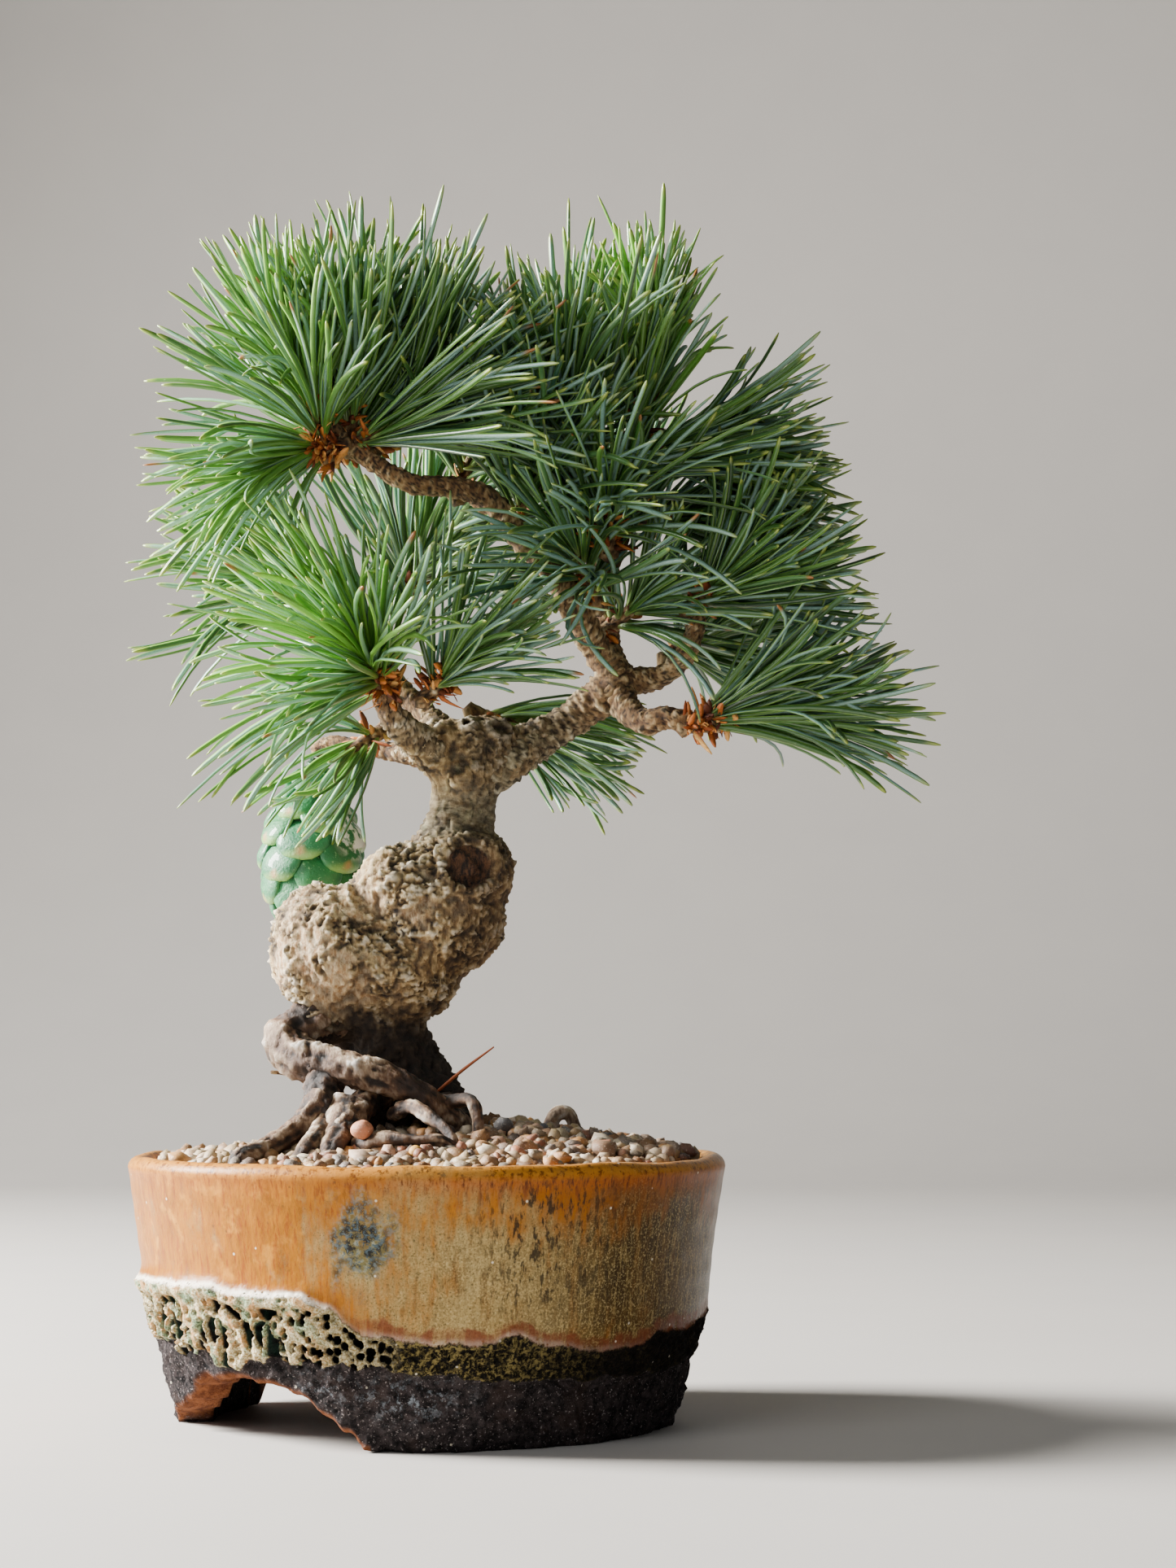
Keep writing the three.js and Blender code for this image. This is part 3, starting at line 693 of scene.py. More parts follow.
@dataclass(frozen=True)
class BarkFinish:
    """Bark: flaky on the burls, smooth and grey on the waist, reddish on young branches."""

    kind: Bark

    def make(self) -> bpy.types.Material:
        """Builds the material. Each kind reads its own piece's marks.

        Returns:
            The material.
        """
        s = Shader(self.kind.value)
        grain = s.noise(0.5, 5.0, 0.7)
        cloud = s.noise(5.0, 5.0, 0.62)
        fibre = s.noise(1.1, 5.0, 0.7, s.stretched((1.0, 1.0, 0.35)))
        crevice = s.mark("crevice")
        if self.kind is Bark.TRUNK:
            high = s.mark("high")
            # Painted cavity shade and highlight: the colour runs from near-black in the low relief to cream
            # on the raised relief, partly the bark's own colour.
            tan = (high * 0.95 + fibre * 0.6 - 0.26).held().through(
                [(0.0, "100a05"), (0.26, "4a3620"), (0.48, "86693f"), (0.7, "c2a978"),
                 (1.0, "f2e6cc")]
            )
            tan = s.mix(s.mark("flaky") * 0.45 * s.mark("plate"), tan, "85765a")
            tan = s.mix(cloud.rise(0.55, 0.75) * 0.4, tan, "8c8a63")
            peeled = s.mix(fibre.rise(0.35, 0.65), "b0875c", "ead8b4")
            tan = s.mix((s.mark("pale") * (1.0 - s.mark("flaky")) * 0.85).held(), tan, peeled)
            # Painted shade: the trunk's right side and its lower part go dark brown.
            tan = s.mix(
                (s.mark("dusky") * 0.7).held(), tan, s.mix((high * fibre * 2.2).held(), "22170f", "6f553c")
            )
            smooth = s.mix(
                s.noise(2.6, 5.0, 0.7, s.stretched((0.5, 0.5, 1.6))).rise(0.35, 0.68), "3c3322", "aaa184"
            )
            smooth = s.mix(cloud.rise(0.52, 0.7) * 0.6, smooth, "8b9070")
            colour = s.mix(s.mark("smooth"), tan, smooth)
            colour = s.mix((s.mark("wound") * 1.1).held(), colour, s.mix(cloud, "6b3a1c", "b06a35"))
            colour = s.mix(s.mark("scar"), colour, s.mix(fibre.rise(0.4, 0.65), "160c07", "5e3d24"))
            # Painted shade: the trunk's foot, under the burls, goes nearly black.
            colour = s.mix(
                s.mark("low") * 0.96, colour, s.mix((high * fibre * 2.0).held(), "090503", "2c1e14")
            )
        elif self.kind is Bark.ROOT:
            # Painted shade and highlight: dark brown in the low relief, near-white highlights on the raised
            # relief, partly the root's own colour.
            high = (s.mark("high") * 0.9 + fibre * 0.7 - 0.32).held()
            colour = high.through(
                [(0.0, "130b07"), (0.3, "3a281c"), (0.52, "69492f"), (0.74, "ad9578"),
                 (1.0, "f4eee4")]
            )
            # Painted shade: the root's downward-facing sides are darkened.
            colour = s.mix((1.0 - s.mark("up")) * 0.5, colour, "3a2b22")
            colour = s.mix(s.mark("dark") * 0.7, colour, "2c2019")
        else:
            # Painted shade and highlight: dark in the low relief, pale on the raised relief, partly the
            # branch's own colour.
            high = (s.mark("high") * 0.8 + fibre * 0.7 - 0.26).held()
            colour = high.through(
                [(0.0, "1c110a"), (0.3, "553c26"), (0.52, "80623f"), (0.75, "b39a70"),
                 (1.0, "e6d9b8")]
            )
            grey = high.through(
                [(0.0, "241d12"), (0.35, "665b42"), (0.6, "9a9072"), (1.0, "e2dcc4")]
            )
            colour = s.mix(s.mark("grey") * 0.9, colour, grey)
            colour = s.mix(s.mark("young") * 0.5, colour, s.mix(high, "4a220e", "b8743a"))
        # Dark in the crevices: partly the bark's own colour, partly painted shade.
        colour = s.mix((crevice * 1.05).held(), colour, "170e08")
        colour = s.mix(grain.rise(0.36, 0.2) * 0.5, colour, "3a2a1c")
        relief = fibre * 0.6 + grain * 0.4
        dull = 0.55 if self.kind is Bark.ROOT else 0.78
        return s.close(colour, dull + 0.18 * grain, s.bumped(relief, 0.7, 1.0))


@dataclass(frozen=True)
class NeedleFinish:
    """Pine needles: green outside, with a blue-white bloom on the inner faces."""

    def make(self) -> bpy.types.Material:
        """Builds the material from each needle's marks.

        Returns:
            The material.
        """
        s = Shader("pine_needles")
        tone, young, along, side = (s.mark(k) for k in ("tone", "young", "along", "side"))
        old = s.mix(tone, "0a2516", "3c6630")
        old = s.mix(tone.rise(0.6, 0.9) * 0.6, old, "2d5c56")
        fresh = s.mix(tone, "34801c", "94cc48")
        green = s.mix(young, old, fresh)
        bloom = s.mix(young * 0.6, s.mix(tone, "6f9c96", "a3c6bc"), "94c47c")
        stripes = s.noise(0.4, 2.0).rise(0.25, 0.6)
        green = s.mix((side.rise(0.52, 0.70) * (0.62 + 0.25 * stripes)).held(), green, bloom)
        # Painted highlight: a yellow-green line along each needle's two edges.
        green = s.mix(side.rise(0.32, 0.48) * side.rise(0.66, 0.52) * 0.6, green, "9ccc58")
        green = s.mix(along.rise(0.12, 0.0) * 0.55, green, "b5c878")
        green = s.mix(along.rise(0.93, 0.985) * 0.6, green, "a8b648")
        green = s.mix(s.mark("dry") * along.rise(0.90, 0.97), green, "9a6430")
        colour = s.mix(s.noise(1.5, 3.0).rise(0.66, 0.8) * 0.4, green, "cfe0b0")
        return s.close(
            colour, 0.26 + 0.14 * s.noise(4.0), Specular_IOR_Level=0.55, Coat_Weight=0.08, Coat_Roughness=0.2
        )


@dataclass(frozen=True)
class ScaleFinish:
    """Papery orange-brown bud scales and dead needles."""

    def make(self) -> bpy.types.Material:
        """Builds the material.

        Returns:
            The material.
        """
        s = Shader("dry_needle")
        tone = s.mark("tone")
        colour = tone.through(
            [(0.0, "4c200d"), (0.35, "984a18"), (0.7, "c9762a"), (1.0, "e2ae62")]
        )
        colour = s.mix(s.noise(1.0, 4.0).rise(0.5, 0.7) * 0.5, colour, "4d2614")
        return s.close(colour, 0.62 + 0.2 * s.noise(2.0))


@dataclass(frozen=True)
class ConeFinish:
    """An unripe cone: thick green scales with paler rims, and a run of white resin."""

    def make(self) -> bpy.types.Material:
        """Builds the material from the cone's marks.

        Returns:
            The material.
        """
        s = Shader("green_cone")
        out, tone = s.mark("out"), s.mark("tone")
        green = s.mix((s.noise(4.0, 4.0) * 1.6 - 0.3).held(), "0b4f26", "2a8c46")
        green = s.mix(tone * 0.4, green, "1f6a55")
        # Painted shade: each scale goes very dark green at its root, where it lies under its neighbours.
        green = s.mix(out.rise(0.35, 0.0) * 0.85, green, "0a2c1a")
        green = s.mix(out.rise(0.80, 0.97) * 0.75, green, "8cba62")
        green = s.mix((s.noise(0.8, 3.0).rise(0.6, 0.7) * 0.5).held(), green, "8fc48a")
        colour = s.mix(s.mark("umbo"), green, "a98a55")
        colour = s.mix((s.mark("resin") * s.noise(2.4, 4.0).rise(0.42, 0.55)).held(), colour, "e8ecea")
        return s.close(
            colour, 0.46 + 0.2 * s.noise(2.0), s.bumped(s.noise(0.9, 4.0), 0.35, 0.8), Coat_Weight=0.25
        )


@dataclass(frozen=True)
class GravelFinish:
    """Mixed fine gravel. A seed mark picks each pebble's own stone."""

    name: str = "gravel"
    tint: Union[Colour, None] = None

    def make(self) -> bpy.types.Material:
        """Builds the material.

        Returns:
            The material.
        """
        s = Shader(self.name)
        seed = s.mark("seed")
        colour = seed.through(
            [
                (0.0, "6f655b"),
                (0.12, "b89f74"),
                (0.24, "84562c"),
                (0.36, "c9b48e"),
                (0.47, "5e5f63"),
                (0.58, "a07446"),
                (0.68, "7d7268"),
                (0.77, "bd8440"),
                (0.86, "ddd0b6"),
                (0.93, "b06a44"),
                (1.0, "575250"),
            ]
        )
        if self.tint is not None:
            colour = s.mix(0.9, colour, self.tint)
        colour = s.mix((s.noise(1.3, 5.0, 0.7) * 1.2 - 0.42).held(), colour, "5c4b3d")
        colour = s.mix(s.noise(0.45, 3.0).rise(0.58, 0.7) * 0.5, colour, "e4d8c4")
        # Painted shade: the bed under the pebbles is near-black, standing for the shade in the gaps between
        # them.
        colour = s.mix(s.mark("under") * 0.85, colour, "1c1510")
        relief = s.noise(0.5, 4.0, 0.7)
        return s.close(colour, 0.42 + 0.25 * relief, s.bumped(relief, 0.2, 0.7))


@dataclass(frozen=True)
class PlainFinish:
    """A finish of two noisy tones, for what is mostly hidden."""

    name: str
    dark: Colour
    light: Colour
    grain: float
    roughness: float
    metal: float = 0.0

    def make(self) -> bpy.types.Material:
        """Builds the material.

        Returns:
            The material.
        """
        s = Shader(self.name)
        cloud = s.noise(self.grain, 6.0, 0.7)
        colour = s.mix(cloud.rise(0.35, 0.65), self.dark, self.light)
        rough = self.roughness - 0.1 + 0.2 * s.noise(self.grain * 2.0)
        return s.close(colour, rough, s.bumped(cloud, 0.15, 0.6), Metallic=self.metal)


def dress(piece: bpy.types.Object, slot: str, *nodes: str) -> None:
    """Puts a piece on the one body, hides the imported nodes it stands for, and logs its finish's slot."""
    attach(piece, BODY)
    if nodes:
        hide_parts(*nodes)
    triangles = sum(len(p.vertices) - 2 for p in piece.data.polygons)
    LOG.info("%s: %d triangles, slot %s, for %s", piece.name, triangles, slot, ", ".join(nodes))


# ---- pot
@dataclass
class Pot:
    """The round pot on its three uneven feet, all one closed skin.

    Angles are degrees anticlockwise from +X, so 270 is the front. Heights are from the table.
    """

    height: float = 64.0
    rim_radius: float = 73.0
    waist_radius: float = 68.0
    foot_radius: float = 60.5
    waist_height: float = 28.0
    wall: float = 5.5
    recess: float = 16.0
    floor_top: float = 22.0
    foot_inside: float = 51.5
    drain_radius: float = 11.0
    around: int = 720
    glaze_edge: list[tuple[float, float]] = listed(
        (24, 25.5), (60, 27.0), (95, 25.0), (130, 29.0), (165, 33.5), (203, 35.4), (227, 35.8),
        (236, 34.6), (248, 34.6), (254, 32.2), (261, 26.4), (270, 25.2), (279, 24.4), (285, 24.8),
        (289, 26.5), (297, 23.2), (308, 21.6), (319, 22.2), (325, 24.8), (335, 24.7), (352, 27.0),
    )
    crust_edge: list[tuple[float, float]] = listed(
        (30, 18.0), (90, 19.5), (150, 21.0), (206, 22.3), (216, 20.0), (228, 18.6), (246, 19.8),
        (261, 19.4), (272, 17.8), (293, 15.6), (323, 15.2), (350, 17.0),
    )
    arch_top: list[tuple[float, float]] = listed(
        (0, 0.6), (6, 6.5), (13, 12.0), (24, 13.0), (35, 12.0), (42, 6.5), (48, 0.6), (56, 0.0),
        (99, 0.0), (102, 0.8), (107, 6.5), (114, 12.0), (125, 13.0), (136, 12.0), (143, 6.5), (149, 0.6),
        (158, 0.0), (184, 0.0), (187, 0.5), (190, 3.0), (200, 5.6), (207, 8.0), (212, 11.5),
        (219, 14.6), (229, 15.0), (237, 14.2), (245, 12.6), (252, 8.0), (256, 4.4), (260, 1.0),
        (263, 0.0), (352, 0.0),
    )

    def spokes(self) -> Array:
        """Angles of the mesh's columns, closest together where the crust is cratered.

        Returns:
            self.around rising angles in degrees: steps are 0.42, 0.65 and 1 in proportion.
        """
        at = np.linspace(0.0, 360.0, 3601)
        cratered = ramp(at, 183, 189) * ramp(at, 272, 264)
        front = ramp(at, 264, 272) * ramp(at, 356, 350)
        weight = 1.0 + 1.4 * cratered + 0.55 * front
        run = np.concatenate([[0.0], np.cumsum((weight[1:] + weight[:-1]) / 2)])
        return np.interp(np.linspace(0.0, run[-1], self.around, endpoint=False), run, at)

    def wall_radius(self, z: Array) -> Array:
        """Outside radius: straight from foot to waist, then hollowed a little up to the lip."""
        low = self.foot_radius + (self.waist_radius - self.foot_radius) * z / self.waist_height
        t = np.clip((z - self.waist_height) / (self.height - self.waist_height), 0, 1)
        high = self.waist_radius + (self.rim_radius - self.waist_radius) * (t - 0.10 * np.sin(np.pi * t))
        return np.where(z < self.waist_height, low, high)

    def outer(self, angle: Array, z: Array) -> tuple[Array, dict[str, Array]]:
        """The outside wall: the turned radius with the glaze's roll, its crust and the rough clay.

        The roll is a bell round the glaze's edge, about 2 mm high at the left. The crust below it is cut by
        stretched cells, whose middles sink and whose borders stand up as ribs. The clay under
        that is octaves of noise with chips, sunk 0.3 to 1.3 mm behind the crust.

        Args:
            angle: Degrees round the pot.
            z: Height of each point.

        Returns:
            The radius at each point, and the wall's marks.
        """
        turn = np.radians(angle)
        radius = self.wall_radius(z)
        flat = np.stack([np.cos(turn) * radius, np.sin(turn) * radius, z], -1)
        left = ramp(angle, 180, 196) * ramp(angle, 257, 247)
        sponge = ramp(angle, 240, 246) * ramp(angle, 270, 262)
        edge = turn_curve(self.glaze_edge, angle) + Noise(3).cloud(flat / 5.0, 4) * (1.1 - 0.4 * left)
        low = turn_curve(self.crust_edge, angle) + Noise(4).cloud(flat / 4.0, 4) * 1.6
        low = low + left * 1.8 * Noise(15).value(np.stack([turn * self.waist_radius / 3.4, 0 * z, 0 * z], -1))
        above = z - edge
        crust = ramp(z, 0.0, 0.8) * ramp(z - low, -0.8, 0.8) * ramp(above, 0.6, -0.2)

        sheet = np.array([0.8, 0.85, 0.0])
        sway = Noise(5).cloud(flat / 7.0, 2)
        tall = Noise(11).cells(
            np.stack([turn * self.waist_radius / 3.7 + 0.3 * sway, z / 7.2 + 0.5 * sway, 0 * z + 0.5], -1),
            sheet
        )
        small = Noise(12).cells(flat / 2.0)
        tiny = Noise(13).cells(flat / 1.1)
        tall_pit = ramp(tall[1] - tall[0], 0.10, 0.30) * (tall[2] > 0.24)
        small_pit = ramp(small[0], 0.54, 0.38) * (small[2] > 0.12)
        tiny_pit = ramp(tiny[0], 0.45, 0.22) * (tiny[2] > 0.45)
        pit = np.maximum(tall_pit * left * (1 - sponge), small_pit * np.maximum(sponge, 0.25 * left))
        rest = (1 - left) * (1 - sponge)
        pit = np.maximum(pit, np.maximum(tiny_pit * 0.5, small_pit * 0.3) * rest) * crust
        pit = pit * ramp(above, -0.4 - 1.6 * left, -1.6 - 2.4 * left)
        rib = crust * (1 - pit) * (0.35 + 0.75 * left)
        tongue = Noise(14).cloud(
            np.stack([turn * self.waist_radius / 2.4, z / 13.0, 0 * z], -1), 2
        ) * left * crust

        clay = ramp(z - low, 0.6, -0.9)
        rough = Noise(21).cloud(flat / 5.5, 5)
        crumbs = Noise(22).cells(flat / 1.6)
        hem = 0.5 + 0.5 * Noise(17).cloud(flat / 4.0, 2)
        roll = bump(above, 0.6 - 1.6 * left, 1.5 + 0.9 * left) * (0.55 * hem + 1.6 * left)
        bubbles = Noise(16).cells(flat / 1.5)
        roll = roll - 0.8 * left * bump(above, -1.2, 1.6) * ramp(bubbles[0], 0.42, 0.2) * (bubbles[2] > 0.4)
        step = ramp(above, 0.5, -0.8) * (0.3 + 0.4 * left)
        radius = radius + roll - step + rib * 0.7 + tongue * 0.9 - pit * (1.2 + 2.2 * left + 1.6 * sponge)
        radius = radius + crust * (Noise(23).cloud(flat / 1.7, 4) * (1.0 - 0.5 * left) + 0.3)
        grit = Noise(24).cloud(flat / 1.9, 3)
        shelf = 0.3 + 1.0 * left
        radius = radius + clay * (rough * 2.2 - shelf + 0.6 * (0.5 - crumbs[0]) + 0.7 * grit)
        lumps = bump(angle, 327, 14) * bump(z, 19, 5) * 1.6 + bump(angle, 268, 10) * bump(z, 5, 7) * 1.0
        radius = radius + lumps * ramp(above, 1.0, -1.0)
        smooth = ramp(above, 0.0, 1.5)
        radius = radius + smooth * 0.05 * np.sin(z * 1.05 + 1.5 * Noise(6).value(flat / 30.0))
        radius = radius + smooth * Noise(7).cloud(flat / 16.0, 3) * 0.35

        warm = 1.0 - 0.95 * ramp(angle, 238, 278)
        warm = np.where(angle < 90, 0.2 + 0 * angle, warm)
        warm = warm * ramp(angle, 100, 150) + 0.35 * ramp(angle, 150, 100)
        warm = warm + 0.62 * ramp(z, 40, 58) * ramp(angle, 245, 285) - 0.15 * ramp(angle, 305, 330)
        stretched = flat / np.array([3.6, 3.6, 6.5])
        drift = 9.0 * Noise(9).cloud(stretched, 3)
        blotch = np.exp(
            -(((angle - 260.8 + 0.35 * drift) / 6.6) ** 2) - (((z - 47 + drift * 0.6) / 9.4) ** 2)
        )
        blotch = ramp(blotch + Noise(8).cloud(stretched, 4) * 0.45, 0.18, 0.75)
        dusk = bump(angle, 292, 10) * 0.9 + bump(angle, 306, 6) * 0.5 + 0.15 + 0.35 * ramp(angle, 305, 335)
        marks = {
            "above": above,
            "warm": warm,
            "band": bump(z, 61.0, 3.2) * (0.35 + 0.65 * ramp(angle, 250, 285)),
            "dusk": dusk * ramp(z, 27, 36) * ramp(z, 63, 56),
            "blotch": blotch,
            "rust": ramp(angle, 250, 266),
            "roll": ramp(above, -5.0, -3.4) * ramp(above, 1.6, 0.2) * left
            + bump(above, 0.2, 0.8) * 0.14 * (1 - left) * ramp(angle, 330, 290),
            "pit": pit,
            "crust": ramp(z - low, -0.5, 0.5),
            "dark_crust": (1 - left) * (1 - 0.55 * sponge),
            "glass": left,
            # Painted shade: 0 up to 282 degrees, rising to 1 at 318 degrees on the pot's right side.
            "dim": ramp(angle, 282, 318),
            # Painted reflection: where the bluish sheen is painted on the clay.
            "frost": 0.75 * bump(angle, 269, 9) * bump(z, 12, 3.5)
            + 0.4 * bump(angle, 252, 6) * bump(z, 15, 3),
            "cut": 0 * z,
            "inside": 0 * z,
            "lip": 0 * z,
        }
        return radius, marks

    def build(self) -> None:
        """Makes the pot's skin, ring by ring, and dresses it.

        The rings run from the lip down the outside, under the foot, up into the recess, through
        the drain hole and back up the inside wall to the lip.
        """
        angle = self.spokes()[None, :]
        arch = turn_curve(self.arch_top, angle[0])[None, :]
        bank = Noise(31).cloud(
            np.stack([np.cos(np.radians(angle)), np.sin(np.radians(angle)), 0 * angle], -1) * 12, 3
        )
        arch = np.where(arch > 0.3, np.clip(arch + bank * 1.1, 0.3, 15.2), 0.0)
        half = self.wall / 2
        levels = [np.linspace(0, 0.22, 19)[:-1], np.linspace(0.22, 0.60, 51)[:-1], np.linspace(0.60, 1, 24)]
        levels = np.concatenate(levels)[::-1][:, None]
        z_out = arch + (self.height - half - arch) * levels
        spread = np.broadcast_to(angle, z_out.shape)
        r_out, marks = self.outer(spread, z_out)
        r_out = r_out - ramp(z_out - arch, 1.2, 0.0) * 0.9
        marks["cut"] = ramp(z_out - arch, 1.6, 0.2) * (arch > 0.3)

        over = np.radians(np.linspace(0, 180, 9)[::-1][:-1])[:, None]
        wave = 0.4 * Noise(32).value(
            np.stack([np.cos(np.radians(angle)), np.sin(np.radians(angle)), 0 * angle], -1) * 5
        )
        r_lip = self.rim_radius - half + half * np.cos(over) + 0 * angle
        z_lip = self.height - half + half * np.sin(over) * (1.0 + 0 * angle) + wave * np.sin(over) - 0.12
        join = r_out[0][None, :]
        r_lip = r_lip + (join - self.rim_radius) * ramp(over, np.pi, 0.0)

        def ring(radius: Array, z: Array) -> tuple[Array, Array]:
            """Rows of constant radius and height, spread round the pot."""
            return (np.reshape(radius, (-1, 1)) + 0 * angle, np.reshape(z, (-1, 1)) + 0 * angle)

        steps = np.linspace(0, 1, 7)[:, None]
        r_under = r_out[-1] + (self.foot_inside - r_out[-1]) * steps[1:]
        z_under = arch + 0 * steps[1:]
        rise = np.array([0.3, 0.6, 0.85, 1.0])[:, None]
        r_wall = self.foot_inside - 3.0 * rise**2 + 0 * angle
        z_wall = arch + (self.recess - arch) * rise
        r_ceiling, z_ceiling = ring(
            np.linspace(self.foot_inside - 5.0, self.drain_radius + 0.6, 9), np.full(9, self.recess)
        )
        r_hole, z_hole = ring(
            [self.drain_radius, self.drain_radius, self.drain_radius + 0.5], [
                self.recess + 0.5, self.floor_top - 0.5, self.floor_top
            ]
        )
        r_floor, z_floor = ring(np.linspace(self.drain_radius + 3.0, 58.5, 6), np.full(6, self.floor_top))
        z_rise = np.array([25.0, 30.0, 38.0, 46.0, 52.0, 55.0, 57.0, 58.5, 60.0])[:, None] + 0 * angle
        below_rim = self.height - z_rise
        r_rise = self.wall_radius(z_rise) - self.wall + 0.04 * below_rim * ramp(z_rise, self.height, 40)

        radii = [r_lip, r_out, r_under, r_wall, r_ceiling, r_hole, r_floor, r_rise]
        heights = [z_lip, z_out, z_under, z_wall, z_ceiling, z_hole, z_floor, z_rise]
        radius, z = np.vstack(radii), np.vstack(heights)
        turn = np.radians(angle)
        points = np.stack([radius * np.cos(turn), radius * np.sin(turn), z], -1)
        rows = [len(r) for r in radii]
        first = rows[0]
        start, end = first, first + rows[1]
        below = slice(end, end + rows[2] + rows[3] + rows[4] + rows[5])
        points[below] += Noise(33).cloud(points[below] / 5.0, 4)[..., None] * np.array([0.1, 0.1, 0.35]) * (
            points[below][..., 2:] > 0.3
        )
        full = {}
        for key, values in marks.items():
            whole = np.zeros(radius.shape)
            whole[start:end] = values
            full[key] = whole
        top_row = {k: v[0] for k, v in marks.items()}
        for key in ("warm", "above", "dim"):
            full[key][:start] = top_row[key]
        full["lip"][:start] = 1.0
        full["lip"][start:end] = ramp(z_out, 60.0, 62.5)
        full["above"][end:] = -20.0
        full["crust"][end:] = 0.0
        full["cut"][end : end + rows[2] + rows[3]] = np.clip(
            np.vstack([z_under, z_wall]) / 3.0, 0, 1
        ) * (arch > 0.3)
        inner = end + sum(rows[2:6])
        full["above"][inner:] = 20.0
        full["inside"][inner:] = 1.0

        shape = Shape(
            points.reshape(-1, 3),
            lattice(len(radius), self.around, wrap_rows=True)[:, ::-1],
            marks={k: v.reshape(-1) for k, v in full.items()},
        )
        made = shape.to_object("stoneware_pot", PotFinish().make())
        dress(made, "glazed_stoneware", "pot")


